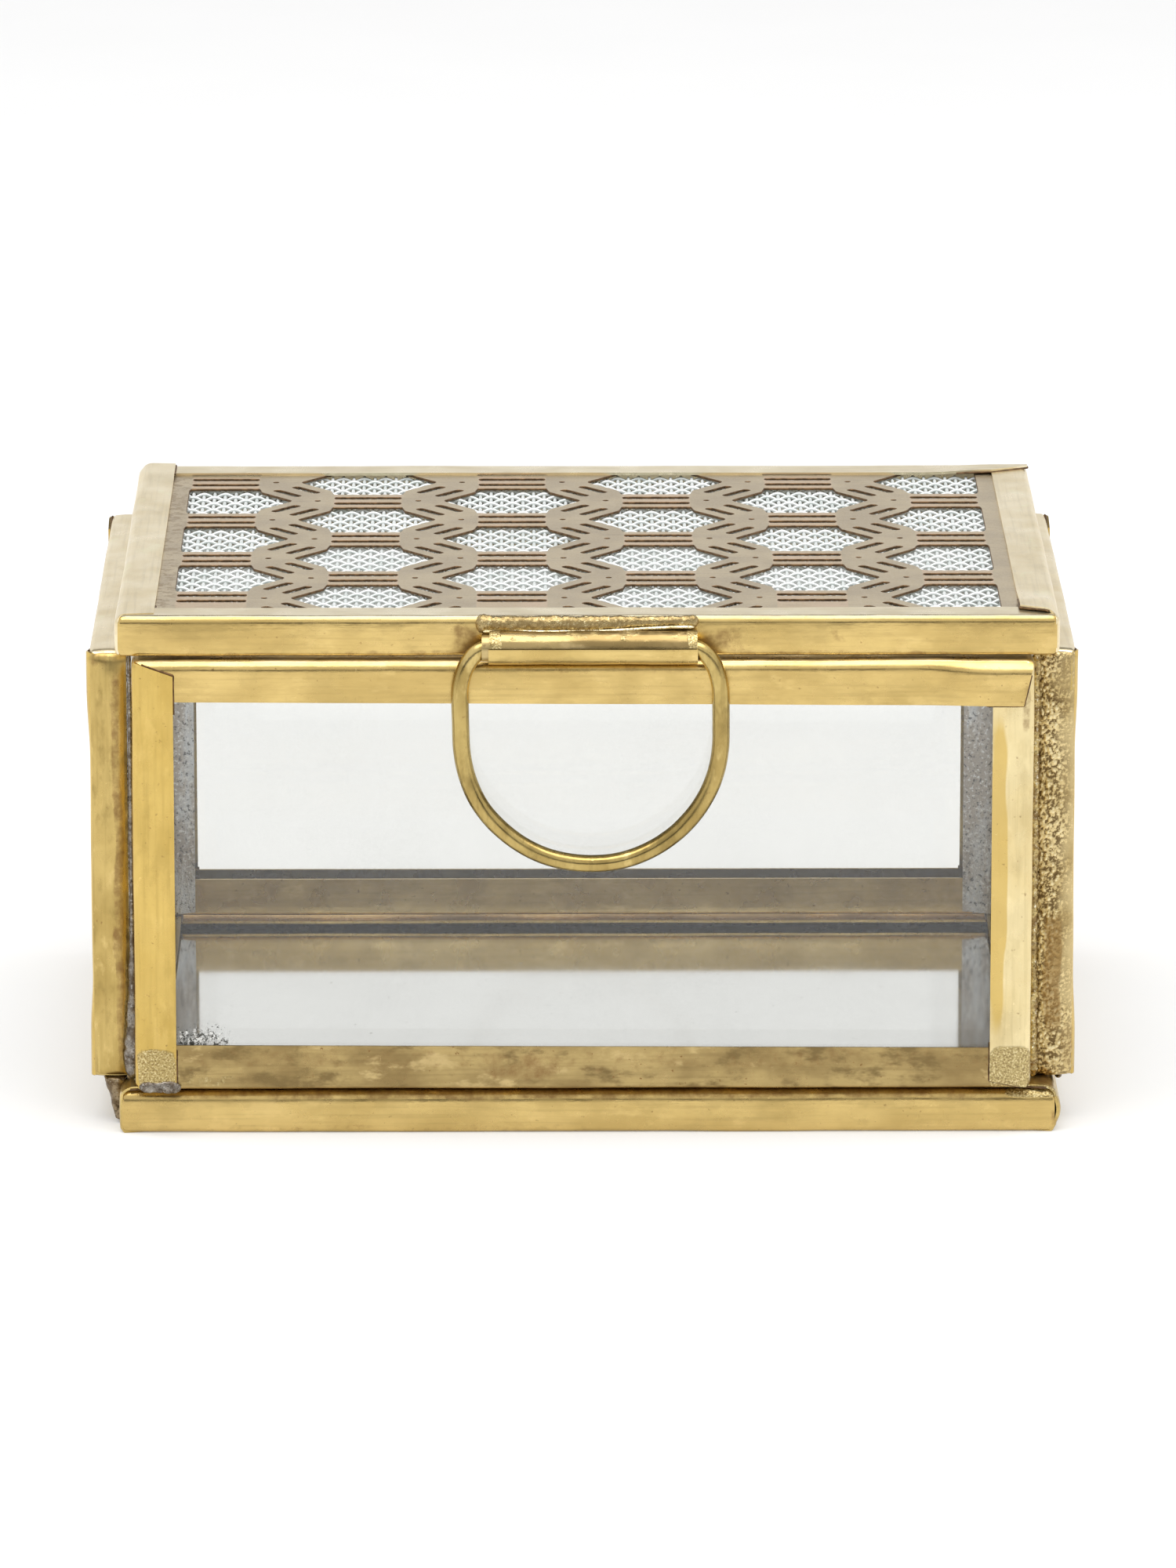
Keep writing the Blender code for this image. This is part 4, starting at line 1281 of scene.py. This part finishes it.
def frames(looks):
    back = Panel("back_channel", (-1, 0, 0), (0, 0, 1))
    left = Panel("left_channel", (0, -1, 0), (0, 0, 1))
    right = Panel("right_channel", (0, 1, 0), (0, 0, 1))
    base = Panel("base_channel", (1, 0, 0), (0, 1, 0))
    lid = Panel("lid_channel", (1, 0, 0), (0, 1, 0))
    front_frame(looks)
    upright_ends = [("left", 0, (0.0, 0.2, 0.0), LAP), ("left", 1, (0.0, 0.1, 0.0), LAP),
                    ("right", 0, (0.0, 0.1, 0.0), LAP), ("right", 1, (0.0, 0.2, 0.0), LAP)]
    upright = ("gold_z", "inside", "gold_z")
    sides = {"bottom": ("gold_x", "pale_lit_inner", "gold_x"), "right": upright,
             "top": ("gold_x", "barrel_inner", "gold_x"), "left": upright}
    bound_frame("back_frame", back, looks, sides, seed=20.0, ends=upright_ends,
                own={"bottom": {"pressed": 0.4}})
    sides = {"bottom": ("brass_y", "barrel_inner", "brass_y"), "right": upright,
             "top": ("pale_y", "barrel_inner", "brass_y"), "left": upright}
    low, high = box_mm("left_channel")
    # The upright stripe paints shade across the front web's curve, and the patch paints shade in its
    # pinched top.
    tarnish = [((low[0] + 3.0, low[1], 30.0), (0.55, 1.0, 26.0), 0.62),
               ((low[0] + 1.0, low[1], high[2] - 1.0), (1.2, 1.5, 1.2), 0.5)]
    bound_frame("left_frame", left, looks, {**sides, "right": ("web_left", "inside", "gold_z")},
                seed=30.0, corner=1.2, crown=0.10, ends=upright_ends, tarnish=tarnish,
                own={"right": {"crown": 0.34, "radius": 1.0, "inner_radius": 0.5,
                               "pinch": 0.8, "web_steps": 16, "wave": 0.12}})
    low, high = box_mm("right_channel")
    tarnish = [((low[0] + 2.1, low[1], 17.0), (1.1, 1.0, 7.0), 0.8),
               ((high[0] - 0.7, low[1], 9.0), (0.9, 1.0, 3.0), 0.5)]
    cover = side_cover(low[0], high[0], low[2], high[2])
    bound_frame("right_frame", right, looks, {**sides, "left": ("spattered", "inside", "gold_z")},
                seed=40.0, corner=1.2, crown=0.10, ends=upright_ends, tarnish=tarnish,
                own={"left": {"crown": 0.28, "radius": 0.9, "inner_radius": 0.5, "web_steps": 26,
                              "stations": 330, "even": 0.85, "spatter": cover, "wave": 0.14}})
    low, high = box_mm("base_channel")
    # The second patch paints the shadow on the top flange in front of the right wall and the third band
    # paints shade along the top fold under the front wall; the first darkens the right front corner and
    # the last the bottom edge of the left half.
    tarnish = [((high[0] - 0.2, low[1], 1.6), (0.5, 1.2, 1.0), 0.5),
               ((high[0] - 1.0, low[1] + 2.9, high[2]), (1.7, 2.3, 0.5), 0.7),
               ((0.6, low[1] + 0.6, high[2] - 0.45), (52.0, 1.6, 0.75), 0.62),
               ((-20.0, low[1], low[2] + 0.5), (30.0, 1.2, 0.4), 0.3)]
    solder = [((high[0] - 3.0, low[1], high[2] - 0.4), (3.4, 1.2, 0.8), 0.7),
              ((low[0] + 2.6, low[1], high[2] - 0.4), (2.6, 1.2, 0.6), 0.4)]
    sides = {"bottom": "gold_x", "right": "brass_y", "top": "gold_x", "left": "brass_y"}
    bound_frame("base_frame", base, looks, sides,
                seed=50.0, radius=0.9, tarnish=tarnish, solder=solder,
                own={"right": {"crown": 0.45, "radius": 0.9, "inner_radius": 0.9},
                     "bottom": {"radius": 1.5, "wave": 0.09}},
                ends=[(side, end, (0.0, 0.2, 0.0), LAP)
                      for side in ("right", "left") for end in (0, 1)])
    low, high = box_mm("lid_channel")
    tarnish = [((0.8, low[1], low[2] + 0.2), (52.0, 1.2, 0.45), 0.5),
               ((-13.0, low[1], low[2] + 1.9), (2.2, 1.2, 1.7), 0.62),
               ((15.0, low[1], low[2] + 1.7), (2.4, 1.2, 1.6), 0.62),
               ((28.0, low[1], low[2] + 2.4), (1.4, 1.2, 0.9), 0.4)]
    sides = {"bottom": ("gold_x", "gold_x", "pale_x"), "right": "pale_y", "top": "pale_x",
             "left": "pale_y"}
    bound_frame("lid_frame", lid, looks, sides, "lid",
                tarnish=tarnish, face=4.3, inner_face=4.3, radius=0.8, seed=60.0, crown=0.05,
                corner=1.0, own={"bottom": {"radius": 0.9, "seam": 3},
                                 "left": {"radius": 1.0}, "right": {"radius": 0.9}},
                ends=[("right", 0, (1.05, 0.45, 0.0), 0.55), ("top", 0, (0.0, 2.0, 2.2), LAP),
                      ("left", 1, (0.9, 0.12, 0.0), 0.06), ("left", 0, (0.2, 0.1, 0.0), LAP)])


def dress_cad_panes():
    """Glass and mirror stay as the CAD has them, with their own materials."""
    low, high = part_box("front_glass")
    corner = (low.x / MM + 6.6, low.y / MM, low.z / MM + 3.9)
    glass = window_glass("glass_front", corner, (6.4, 6.0, 4.6), 3.0)
    plain = window_glass("glass_plain", seed=9.0)
    hazy = window_glass("glass_lid", seed=12.0, haze=0.32)
    special = {"front_glass": glass, "lid_glass": hazy, "base_mirror": mirror_silver()}
    for name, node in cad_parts.items():
        look = special.get(name, plain if name.endswith("_glass") else None)
        if look:
            node.data.materials.clear()
            node.data.materials.append(look)


# ---------------------------------------------------------------- stage

def stage():
    """Pale floor, a bright card overhead, dark ones behind the camera and the box, the camera."""
    look = Look("floor")
    grain = look.noise(40.0, 2.0)
    colour = look.mix(grain, (0.65, 0.65, 0.65), (0.67, 0.67, 0.67))
    floor_look = look.finish(Base_Color=colour, Roughness=1.0, Emission_Strength=FLOOR_GLOW)
    look.shader.inputs["Emission Color"].default_value = (1.0, 0.998, 0.99, 1.0)
    look.shader.inputs["Specular IOR Level"].default_value = 0.0
    mesh = bpy.data.meshes.new("floor")
    reach = FLOOR_REACH
    mesh.from_pydata([(-reach, -reach, 0), (reach, -reach, 0), (reach, reach, 0),
                      (-reach, reach, 0)], [], [(0, 1, 2, 3)])
    mesh.materials.append(floor_look)
    floor = bpy.data.objects.new("floor", mesh)
    bpy.context.scene.collection.objects.link(floor)
    flag_look = Look("flag")
    shade = flag_look.mix(flag_look.noise(300.0), (0.10, 0.10, 0.10), (0.13, 0.13, 0.13))
    flag_look.finish(Base_Color=shade, Roughness=1.0)
    for name, y, low, high in FLAGS:
        mesh = bpy.data.meshes.new(name)
        mesh.from_pydata([(-FLAG_REACH, y, low), (FLAG_REACH, y, low), (FLAG_REACH, y, high),
                          (-FLAG_REACH, y, high)], [], [(0, 1, 2, 3)])
        mesh.materials.append(flag_look.material)
        flag = bpy.data.objects.new(name, mesh)
        bpy.context.scene.collection.objects.link(flag)
        flag.visible_camera = False
    world = bpy.data.worlds.new("world")
    world.use_nodes = True
    world.node_tree.nodes["Background"].inputs["Color"].default_value = (1.0, 1.0, 1.0, 1.0)
    world.node_tree.nodes["Background"].inputs["Strength"].default_value = WORLD_LIGHT
    bpy.context.scene.world = world
    card = bpy.data.lights.new("overhead_card", "AREA")
    card.shape = "RECTANGLE"
    card.size, card.size_y = CARD_SIZE
    card.energy = CARD_POWER
    overhead = bpy.data.objects.new("overhead_card", card)
    bpy.context.scene.collection.objects.link(overhead)
    overhead.location = CARD_PLACE
    camera = bpy.data.cameras.new("camera")
    camera.lens = LENS
    camera.sensor_width = SENSOR_WIDTH
    camera.clip_start, camera.clip_end = 0.05, 30.0
    seat = bpy.data.objects.new("camera", camera)
    bpy.context.scene.collection.objects.link(seat)
    seat.location = CAMERA_PLACE
    seat.rotation_euler = (math.pi / 2 - CAMERA_TILT, 0.0, CAMERA_ROLL)
    bpy.context.scene.camera = seat
    bpy.context.scene.view_settings.view_transform = "Standard"


def main():
    looks = make_looks()
    frames(looks)
    dress_cad_panes()
    fretwork(fretwork_brass(), painted_shade_edge("fretwork_cut_shade"))
    wire_mesh(mesh_wire())
    pull_ring(looks["ring_brass"])
    barrel(looks)
    knuckles(looks)
    corner_solder(looks)
    stage()


main()
